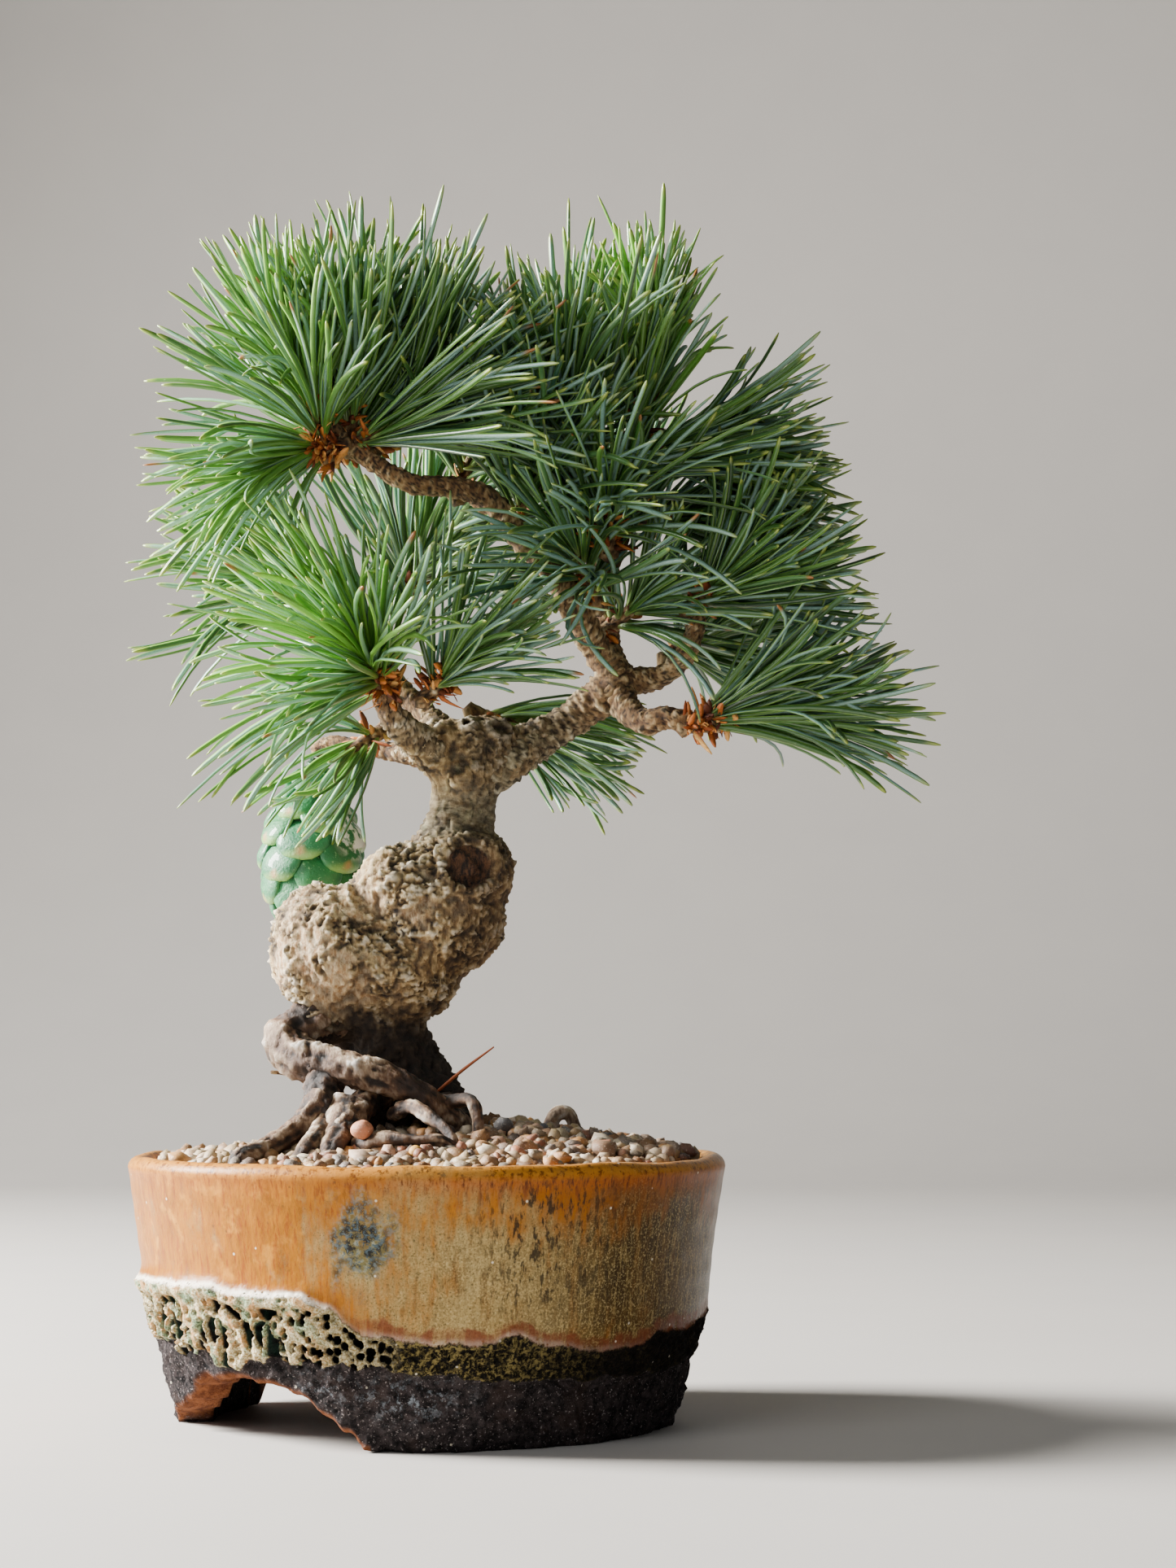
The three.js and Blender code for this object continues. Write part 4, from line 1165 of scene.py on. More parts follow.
# ---- gravel
@dataclass
class Gravel:
    """The gravel dressing: a heaped bed with some thousands of separate pebbles on it.

    bare is the round place under the trunk that gets no pebbles: x, y and radius.
    """

    edge: float = 61.0
    rise: float = 10.5
    centre_x: float = 8.0
    spread: float = 35.0
    radius: float = 66.2
    pitch: float = 3.55
    underside: float = 56.5
    sunk: float = 1.4
    columns: int = 96
    loose: int = 820
    bare: tuple[float, float, float] = (3.0, 3.0, 11.0)

    def height(self, x: Array, y: Array) -> Array:
        """The bed's height: a bell of height rise on a flat level."""
        away = (x - self.centre_x) ** 2 + y**2
        return self.edge + self.rise * np.exp(-away / (2 * self.spread**2))

    def bed(self) -> Shape:
        """A closed disc under the pebbles, with its top following the mound 1.4 mm below it.

        Returns:
            The shape, closed at both poles by fans.
        """
        turn = np.linspace(0, 2 * np.pi, self.columns, endpoint=False)[None, :]
        low = np.linspace(0, self.radius - 0.6, 9)[1:, None]
        high = np.linspace(self.radius, 0, 40)[:-1, None]
        r = np.vstack([low, high])
        x, y = r * np.cos(turn), r * np.sin(turn)
        z = np.where(np.arange(len(r))[:, None] < len(low), self.underside, self.height(x, y) - self.sunk)
        ripple = Noise(41).cloud(np.stack([x, y, 0 * x], -1) / 3.0, 3)
        z[len(low) :] += 0.5 * ripple[len(low) :]
        points = np.stack([x, y, z], -1).reshape(-1, 3)
        middle = float(self.height(np.array(0.0), np.array(0.0)))
        poles = np.array([[0, 0, self.underside], [0, 0, middle - self.sunk]])
        points = np.vstack([points, poles])
        # The bed is marked so that its finish paints it as the dark shade between the pebbles.
        marks = {"seed": np.full(len(points), 0.1), "under": np.ones(len(points))}
        fans = pole_fans(len(r), self.columns)
        return Shape(points, lattice(len(r), self.columns), fans, marks)

    def pebble(self) -> Shape:
        """One round pebble of 24 quads: a cube's faces halved each way, drawn to a sphere."""
        steps = np.array([-1.0, 0.0, 1.0])
        grid = np.stack(np.meshgrid(steps, steps, steps, indexing="ij"), -1).reshape(-1, 3)
        points = grid[np.abs(grid).max(1) == 1.0]
        number = {tuple(p): k for k, p in enumerate(points.tolist())}
        quads = []
        for axis in range(3):
            u, v = (axis + 1) % 3, (axis + 2) % 3
            for way in (-1.0, 1.0):
                for a, b in ((-1.0, -1.0), (-1.0, 0.0), (0.0, -1.0), (0.0, 0.0)):
                    square = np.zeros((4, 3))
                    square[:, axis] = way
                    square[:, u] = [a, a + 1, a + 1, a]
                    square[:, v] = [b, b, b + 1, b + 1]
                    corners = [number[tuple(c)] for c in square.tolist()]
                    quads.append(corners if way > 0 else corners[::-1])
        return Shape(unit(points), np.array(quads))

    def pebbles(self) -> Shape:
        """All the pebbles: a jittered triangular lattice on the mound and a looser layer over it.

        Each pebble is the round one with its three half-lengths drawn at random, sheared, turned
        about a random axis and sunk a little.

        Returns:
            The shape, with each pebble's seed mark.
        """
        rng = np.random.default_rng(7)
        reach = int(self.radius / self.pitch) + 2
        i, j = np.meshgrid(np.arange(-reach, reach + 1), np.arange(-reach - 4, reach + 5))
        flat = np.stack([(i + 0.5 * (j % 2)) * self.pitch, j * self.pitch * 0.866], -1).reshape(-1, 2)
        flat = flat + rng.normal(0, 0.42, flat.shape)
        loose = (rng.random((self.loose, 2)) * 2 - 1) * self.radius
        spots = np.vstack([flat, loose])
        lifted = np.concatenate([np.zeros(len(flat)), np.ones(len(loose))])
        trunk = np.hypot(spots[:, 0] - self.bare[0], spots[:, 1] - self.bare[1]) < self.bare[2]
        keep = (np.hypot(spots[:, 0], spots[:, 1]) < self.radius - self.sunk) & ~trunk
        spots, lifted = spots[keep], lifted[keep]
        count = len(spots)
        size = np.clip(rng.lognormal(0.0, 0.22, (count, 1)) * 1.85, 1.1, 2.8)
        shares = ((0.95, 1.3), (0.8, 1.05), (0.6, 0.85))
        semi = size * np.stack([rng.uniform(low, high, count) for low, high in shares], -1)
        z = self.height(spots[:, 0], spots[:, 1]) - 0.55 + lifted * 1.25 + rng.normal(0, 0.25, count)
        q = unit(rng.normal(size=(count, 4)) * np.array([1.6, 0.5, 0.5, 1.6]))
        w, x, y, v = q.T
        spin = np.stack(
            [
                np.stack([1 - 2 * (y * y + v * v), 2 * (x * y - v * w), 2 * (x * v + y * w)], -1),
                np.stack([2 * (x * y + v * w), 1 - 2 * (x * x + v * v), 2 * (y * v - x * w)], -1),
                np.stack([2 * (x * v - y * w), 2 * (y * v + x * w), 1 - 2 * (x * x + y * y)], -1),
            ],
            1,
        )
        base = self.pebble()
        dents = 1.0 + 0.16 * rng.normal(size=(count, len(base.points), 1)).clip(-1.5, 1.5)
        local = base.points[None] * dents * semi[:, None]
        points = np.einsum("nij,nkj->nki", spin, local) + np.column_stack([spots, z])[:, None]
        per = len(base.points)
        quads = (base.quads[None] + per * np.arange(count)[:, None, None]).reshape(-1, 4)
        seed = np.repeat(rng.random(count), per)
        return Shape(points.reshape(-1, 3), quads, marks={"seed": seed, "under": np.zeros(count * per)})

    def build(self) -> None:
        """Makes the bed and the pebbles."""
        finish = GravelFinish().make()
        bed = self.bed().to_object("gravel_bed", finish)
        pebbles = self.pebbles().to_object("gravel_pebbles", finish)
        dress(bed, "gravel", "gravel_dressing")
        dress(pebbles, "gravel", "gravel_dressing")


@dataclass
class Stone:
    """One larger stone that stands out of the gravel, as a dented ball."""

    name: str
    node: str
    slot: str
    centre: tuple[float, float, float]
    semi: tuple[float, float, float]
    tint: Colour

    def build(self) -> None:
        """A sphere's grid of 20 rings of 32, with its semi-axes and noise of a tenth of them."""
        rows, columns = 20, 32
        sphere = ball(rows, columns)
        large = Noise(51).cloud(sphere * 1.6 + self.centre[0], 3)
        dent = 1.0 + 0.10 * large + 0.02 * Noise(52).cloud(sphere * 9, 2)
        points = sphere * dent[:, None] * np.array(self.semi) + SITE.on_lip(np.array(self.centre))
        marks = {"seed": np.full(len(points), 0.4), "under": np.zeros(len(points))}
        shape = Shape(points, lattice(rows, columns), pole_fans(rows, columns), marks)
        made = shape.to_object(self.name, GravelFinish(self.slot, self.tint).make())
        dress(made, self.slot, self.node)


# ---- trunk
def soft_union(parts: list[Array], blend: float) -> Array:
    """Joins distances: -blend * log(sum(exp(-distance / blend))), which rounds every join."""
    stacked = np.stack(parts)
    least = stacked.min(0)
    return least - blend * np.log(np.exp(-(stacked - least) / blend).sum(0))


def chain_distance(p: Array, stations: Array, pitch: float = 3.0) -> Array:
    """Distance to a tapering tube along a spline.

    For each short stretch it is the distance to the nearest point of the stretch, less the radius
    there.

    Args:
        p: Points, one per row.
        stations: Rows of x, y, z, radius.
        pitch: Length of a stretch.

    Returns:
        The least distance to any stretch, negative inside.
    """
    line = spline(stations, pitch)
    best = np.full(len(p), 1e9)
    for a, b in zip(line[:-1], line[1:]):
        way = b[:3] - a[:3]
        t = np.clip((p - a[:3]) @ way / (way @ way), 0.0, 1.0)
        away = np.linalg.norm(p - a[:3] - t[:, None] * way, axis=1)
        best = np.minimum(best, away - (a[3] + (b[3] - a[3]) * t))
    return best


@dataclass
class Trunk:
    """The swollen old trunk: a leaning foot, two burls, a ringed waist and a knobbly head.

    The stem's stations and the lumps are measured from the pot's lip.
    """

    foot: list[tuple[float, ...]] = listed(
        (4, 4, -14, 15.5), (2, 3, -8, 14.5), (-1, 3, 6, 12.6), (-8, 2, 21, 11.2), (-13, 1, 33, 12),
        (-14, 0, 44, 14),
    )
    neck: list[tuple[float, ...]] = listed(
        (1, 0, 60, 12), (5, 1, 74, 9.2), (7, 1.5, 80, 8.2), (8, 2, 86, 8.0), (9, 2, 92, 8.8), (10, 2, 98, 9),
    )
    lumps: list[tuple[float, ...]] = listed(
        (-21.5, -3, 48.5, 16.6, 15.0, 16.4), (-28.5, -5, 54, 8.5, 8.5, 9.5), (-8, -2, 44, 15, 14, 12.5),
        (1.2, 0, 59, 17.0, 16, 17.4), (9, -2, 68, 11.5, 12, 10.5), (-8, -4, 66, 9.5, 9, 9),
        (9.5, 2, 97.5, 9.6, 9, 7.6), (15.5, 0, 101, 4.6, 4.6, 4.4), (3.5, -3, 101, 5, 5, 5),
    )
    collars: list[list[tuple[float, ...]]] = listed(
        [(10, 2, 94, 6.6), (19, 2, 96.5, 5.6), (27, 3.4, 102, 4.6)],
        [(5, -1, 96, 4.8), (-4, -9, 101.5, 3.8)],
        [(7, 7, 99, 4), (0, 18, 107, 3.1)],
        [(4, 5, 96, 3.4), (-6, 9.5, 99, 2.6)],
        [(10, 9, 98, 3.2), (10, 15, 102, 2.5)],
        [(-12, 1, 32, 6.4), (-19, -4, 33, 6.0), (-27, -8, 32.5, 5.4)],
        [(3, -6, 14, 4.6), (9, -14, 5, 4.0), (12, -16, -3, 3.2)],
        [(-4, -4, 14, 7), (-12, -14, 6, 5), (-18, -20, -3, 4)],
    )
    scar: tuple[float, ...] = (12.2, -17.0, 70.5)
    scar_way: tuple[float, ...] = (0.45, -1.0, 0.25)
    scar_radius: float = 6.4
    voxel: float = 1.2
    low_corner: tuple[float, ...] = (-46.0, -34.0, -6.0)
    extent: tuple[float, ...] = (84.0, 66.0, 122.0)
    far: float = 9.0
    feeler: float = 0.3

    def in_scar(self, p: Array) -> tuple[Array, Array]:
        """How far points stand out of the scar's plane, and how many scar radii off its axis."""
        out = unit(np.array(self.scar_way))
        away = p - np.array(self.scar)
        depth = away @ out
        return depth, np.linalg.norm(away - depth[:, None] * out, axis=1) / self.scar_radius

    def distance(self, p: Array) -> Array:
        """The trunk's signed distance, without its bark.

        Args:
            p: Points in millimetres from the table, one per row.

        Returns:
            Distances, negative inside, with the dead wood's hollow and its rolled rim.
        """
        q = p - np.array([0.0, 0.0, SITE.lip])
        q = q + 1.6 * drifts(q / 9.0, 60, 2)
        parts = []
        for x, y, z, a, b, c in self.lumps:
            away = (q - np.array([x, y, z])) / np.array([a, b, c])
            long = np.linalg.norm(away, axis=1)
            slope = np.linalg.norm(away / np.array([a, b, c]), axis=1)
            parts.append((long - 1.0) * long / np.maximum(slope, 1e-6))
        parts.append(chain_distance(q, np.array(self.foot, float)))
        parts.append(chain_distance(q, np.array(self.neck, float)))
        body = soft_union(parts, 1.1)
        arms = [chain_distance(q, np.array(c, float)) for c in self.collars]
        body = soft_union([body, *arms], 0.9)
        depth, across = self.in_scar(q)
        near = np.exp(-((depth / 7.0) ** 2))
        rim = bump(across, 1.12, 0.26) * near * 1.5
        hollow = ramp(across, 1.0, 0.72) * near * 3.2
        return body - rim + hollow

    def skin(self) -> Shape:
        """The trunk's surface as quads, by the surface-nets rule.

        Each cell of a lattice that the surface crosses gets one point, at the mean of its edges'
        crossings. Each lattice edge that the surface crosses gets one quad of its four cells.

        Returns:
            The closed shape.
        """
        low = SITE.on_lip(np.array(self.low_corner))
        n = np.ceil(np.array(self.extent) / self.voxel).astype(int)
        axes = [low[a] + self.voxel * np.arange(n[a]) for a in range(3)]
        grid = np.stack(np.meshgrid(*axes, indexing="ij"), -1)
        value = self.distance(grid.reshape(-1, 3)).reshape(n)
        value[[0, -1]] = value[:, [0, -1]] = self.far
        value[:, :, 0] = value[:, :, -1] = self.far
        inside = value < 0
        total = np.zeros((*(n - 1), 3))
        count = np.zeros(n - 1)
        for axis in range(3):
            u, v = (axis + 1) % 3, (axis + 2) % 3
            one = np.moveaxis(value, (axis, u, v), (0, 1, 2))
            a, b = one[:-1], one[1:]
            crossed = (a < 0) != (b < 0)
            t = np.where(crossed, a / np.where(crossed, a - b, 1.0), 0.0)
            for du in (0, 1):
                for dv in (0, 1):
                    pick = (slice(None), slice(du, n[u] - 1 + du), slice(dv, n[v] - 1 + dv))
                    part = np.zeros((n[axis] - 1, n[u] - 1, n[v] - 1, 3))
                    hit = crossed[pick]
                    part[..., axis] = t[pick] * hit
                    part[..., u] = du * hit
                    part[..., v] = dv * hit
                    back = np.argsort((axis, u, v))
                    total += np.transpose(part, (*back, 3))
                    count += np.transpose(hit, back)
        used = count > 0
        number = np.full(n - 1, -1)
        number[used] = np.arange(used.sum())
        where = np.argwhere(used)
        points = low + self.voxel * (where + total[used] / count[used][:, None])
        quads = []
        for axis in range(3):
            u, v = (axis + 1) % 3, (axis + 2) % 3
            one = np.moveaxis(inside, (axis, u, v), (0, 1, 2))
            ids = np.moveaxis(number, (axis, u, v), (0, 1, 2))
            change = one[:-1, 1:-1, 1:-1] != one[1:, 1:-1, 1:-1]
            i, j, k = np.nonzero(change)
            j, k = j + 1, k + 1
            ring = np.stack([ids[i, j - 1, k - 1], ids[i, j, k - 1], ids[i, j, k], ids[i, j - 1, k]], -1)
            outward = one[i, j, k]
            quads.append(np.where(outward[:, None], ring, ring[:, ::-1]))
        return Shape(points, np.concatenate(quads))

    def halved(self, shape: Shape) -> Shape:
        """Each quad cut into four, with new points at its edges' middles and at its own.

        Args:
            shape: A shape of quads alone.

        Returns:
            The finer shape.
        """
        quads = shape.quads
        pairs = np.sort(np.stack([quads, np.roll(quads, -1, axis=1)], -1).reshape(-1, 2), axis=1)
        edges, which = np.unique(pairs, axis=0, return_inverse=True)
        which = which.reshape(-1, 4) + len(shape.points)
        middles = shape.points[edges].mean(1)
        centres = shape.points[quads].mean(1)
        centre = np.arange(len(quads)) + len(shape.points) + len(edges)
        parts = [
            np.stack([quads[:, k], which[:, k], centre, which[:, k - 1]], -1) for k in range(4)
        ]
        return Shape(np.vstack([shape.points, middles, centres]), np.vstack(parts))

    def drawn_in(self, points: Array, times: int) -> Array:
        """Points moved onto the surface along the distance's slope, times times."""
        for _ in range(times):
            here = self.distance(points)
            steps = self.feeler * np.eye(3)
            slope = np.stack([self.distance(points + step) - here for step in steps], -1)
            points = points - np.clip(here, -1, 1)[:, None] * unit(slope)
        return points

    def barked(self, shape: Shape) -> Shape:
        """Lays the bark on: plates of cells parted by crevices on the burls, rings on the waist.

        Args:
            shape: The smooth trunk.

        Returns:
            The trunk moved along its normals, with its marks.
        """
        p = shape.points - np.array([0.0, 0.0, SITE.lip])
        normal = shape.normals()
        warp = drifts(p / 5.0, 70, 3)
        smooth = 0.6 * ramp(p[:, 2], 75.0, 79.5) * (1.0 - 0.7 * ramp(p[:, 2], 86.0, 92.0))
        smooth = np.clip(smooth * (1.0 + 0.4 * Noise(79).cloud(p / 4.0, 2)), 0, 1)
        wide = Noise(74).cells(p / np.array([3.1, 3.1, 2.1]) + warp * 0.9)
        fine = Noise(75).cells(p / np.array([1.7, 1.7, 1.2]) + warp * 1.1)
        small_border = fine[1] - fine[0]
        border = wide[1] - wide[0]
        cloud = Noise(76).cloud(p / 3.6, 4)
        crust = ramp(Noise(81).cloud(p / 6.5 + warp * 0.4, 3) + 0.25 * cloud, -0.22, 0.12)
        ridge = 1.0 - np.abs(Noise(77).cloud(p / 5.0 + warp * 0.9, 2)) * 3.2
        crack = 1.0 - np.abs(Noise(82).cloud(p / np.array([4.2, 4.2, 6.5]) + warp * 0.8, 2)) * 7.0
        ridge, crack = np.clip(ridge, 0, 1), np.clip(crack, 0, 1)
        flake = (fine[2] - 0.45) * 1.15 * ramp(small_border, 0.0, 0.18)
        flake = flake + (wide[2] - 0.5) * 0.4 * ramp(border, 0.0, 0.15)
        shards = Noise(83).cells(p / 1.0 + warp)
        flake = flake + (shards[2] - 0.5) * 0.95
        rough = 0.45 * cloud + crust * (0.2 + flake) + 0.45 * (1 - crust) * flake
        rough = rough + 0.4 * ridge**2 - 0.4 * crack
        rings = np.sin(p[:, 2] * 2.6 + 2.2 * warp[:, 0] + 1.2 * Noise(78).value(p / 3.0))
        calm = 0.10 * rings + 0.6 * cloud + 0.9 * (fine[2] - 0.5) * ramp(small_border, 0.0, 0.2) * ramp(
            Noise(80).cloud(p / 5.0, 2), -0.2, 0.2
        ) - 0.55 * crack
        depth, across = self.in_scar(p)
        scar = ramp(across, 1.0, 0.8) * ramp(depth, -9.0, -6.0)
        grooves = np.sin(across * 9.0 + 3.0 * cloud) * 0.3 + cloud * 0.9 + (fine[2] - 0.5) * 0.9
        height = rough * (1 - smooth) + calm * smooth
        height = height * (1 - scar) + grooves * scar
        knots = [(16.5, -3.5, 103.5, 2.6), (10, -5.0, 105.0, 1.9), (4, 3, 105, 2.4)]
        knot_mark = np.zeros(len(p))
        for x, y, z, r in knots:
            far = np.linalg.norm(p + warp * 1.2 - np.array([x, y, z]), axis=1) / r
            height = height + bump(far, 1.0, 0.45) * 0.9 - ramp(far, 0.75, 0.2) * 0.9
            knot_mark = np.maximum(knot_mark, ramp(far, 0.95, 0.5))
        pale = np.exp(-((p - np.array([-27, -10, 50])) ** 2).sum(1) / (2 * 13.0**2))
        pale = np.maximum(pale, 0.75 * np.exp(-((p - np.array([-5, -14, 66])) ** 2).sum(1) / (2 * 9.0**2)))
        wound = np.exp(-(((p - np.array([-2.6, -8, 86.5])) / np.array([4.2, 7.0, 5.2])) ** 2).sum(1))
        crevice = np.clip(
            crack * 0.5 + crust * ramp(small_border, 0.18, 0.0) * 0.75, 0, 1
        ) * (1 - 0.6 * smooth)
        marks = {
            "crevice": np.maximum(crevice * (1 - scar), knot_mark * 0.9),
            "plate": wide[2] * 0.4 + fine[2] * 0.6,
            # Relief height, which the bark's colour turns into painted cavity shade and highlight.
            "high": np.clip((height + 0.55) / 1.5, 0, 1),
            "flaky": crust,
            "pale": pale,
            # Painted shade: rising towards the trunk's right side, and downwards below 40 mm.
            "dusky": ramp(p[:, 0], 0.0, 16.0) * (1 - smooth) * 0.8 + 0.5 * ramp(p[:, 2], 40.0, 25.0),
            "smooth": smooth,
            "wound": ramp(wound + cloud * 0.3, 0.35, 0.7),
            "scar": scar,
            # Painted shade: rising from 41 mm down to 28 mm above the lip, at the trunk's foot.
            "low": ramp(p[:, 2] + 6.0 * cloud, 41.0, 28.0),
        }
        return Shape(shape.points + normal * height[:, None], shape.quads, shape.tris, marks)

    def build(self) -> None:
        """Makes the trunk."""
        rough = self.skin()
        rough.points = self.drawn_in(rough.points, 1)
        fine = self.halved(rough)
        fine.points = self.drawn_in(fine.points, 1)
        made = self.barked(fine).to_object("burled_trunk", BarkFinish(Bark.TRUNK).make())
        dress(made, "trunk_bark", "trunk")


# ---- roots and branches
@dataclass
class Limb:
    """A root or a branch: a round section carried along a spline, with its own bark.

    Stations are rows of x, y, z and radius, measured from the pot's lip.
    """

    name: str
    stations: list[tuple[float, ...]]
    kind: Bark = Bark.BRANCH
    grey: float = 0.0
    young: float = 0.0
    pitch: float = 0.55

    def build_shape(self) -> Shape:
        """The limb's closed surface.

        The radius is the spline's own, times 1 plus noise, with a flare at the start of
        exp(-run / 1.3 radii), and with ring scars on branches or long wrinkles on roots.

        Returns:
            The shape with the bark's marks.
        """
        line = spline(np.array(self.stations, float), self.pitch)
        path, radius = SITE.on_lip(line[:, :3]), line[:, 3]
        widest = float(radius.max())
        settled = ramp(np.arange(len(path)) * self.pitch, 0.0, 6.0)[:, None]
        path = path + 0.12 * widest * drifts(path / (2.2 * widest), 90, 2) * settled
        sides = int(np.clip(round(2 * math.pi * widest / 0.55), 14, 44))
        made = tube(path, radius, sides)
        rows = len(path)
        middle = np.vstack([np.repeat(path, sides, axis=0), path[:1], path[-1:]])
        r = np.concatenate([np.repeat(radius, sides), radius[[0, -1]]])
        run = np.concatenate([np.repeat(np.arange(rows) * self.pitch, sides), [0.0, rows * self.pitch]])
        out = unit(made.points - middle)
        p, turn = made.points, made.marks["turn"]
        seed = sum(map(ord, self.name)) % 97
        cloud = Noise(seed).cloud(p / (1.1 * widest + 0.6), 4)
        fine = Noise(seed + 1).cloud(p / 1.3, 4)
        if self.kind is Bark.ROOT:
            long = Noise(seed + 2).cloud(np.stack([np.cos(turn) * 2.2, np.sin(turn) * 2.2, run / 7.0], -1), 3)
            knobs = Noise(seed + 5).cloud(p / (2.4 * widest), 2)
            scabs = Noise(seed + 6).cells(p / 1.9 + fine[:, None] * 0.6)
            height = 0.20 * cloud + 0.18 * long + 0.16 * fine + 0.24 * knobs
            height = height + 0.14 * (scabs[2] - 0.5) * ramp(scabs[1] - scabs[0], 0.0, 0.2)
            crevice = ramp(long + fine * 0.7, -0.12, -0.5)
        else:
            plates = Noise(seed + 3).cells(p / np.array([1.5, 1.5, 1.5]) + fine[:, None] * 0.5)
            rings = np.sin(run * 2.9 + 2.5 * cloud)
            scars = Noise(seed + 4).cells(np.stack([np.cos(turn) * 1.3, np.sin(turn) * 1.3, run / 2.3], -1))
            height = 0.16 * cloud + 0.04 * rings + 0.13 * ramp(scars[0], 0.5, 0.15) + 0.14 * (plates[2] - 0.5)
            height = height + 0.08 * fine
            crevice = ramp(plates[1] - plates[0], 0.16, 0.02) * 0.9
        flare = 0.30 * np.exp(-run / (1.3 * float(radius[0])))
        points = p + out * (r * (np.clip(height, -0.45, 0.6) + flare))[:, None]
        shape = Shape(points, made.quads, made.tris)
        level = points[:, 2] - SITE.lip
        shape.marks = {
            "crevice": crevice,
            # Relief height, which the bark's colour turns into painted shade and highlight.
            "high": np.clip(0.5 + height * (2.0 if self.kind is Bark.ROOT else 2.3), 0, 1),
            # How far each point faces upwards; the root bark darkens where it faces down, as painted shade.
            "up": ramp(shape.normals()[:, 2], -0.2, 0.8),
            "dark": ramp(level, 8.0, 0.0) * 0.5,
            "grey": self.grey * ramp(run, 40.0, 14.0),
            "young": self.young * ramp(run / (rows * self.pitch), 0.3, 1.0),
        }
        return shape

    def build(self, finish: bpy.types.Material) -> None:
        """Makes the limb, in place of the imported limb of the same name.

        Args:
            finish: The bark.
        """
        made = self.build_shape().to_object(f"{self.name}_bark", finish)
        dress(made, self.kind.value, self.name)


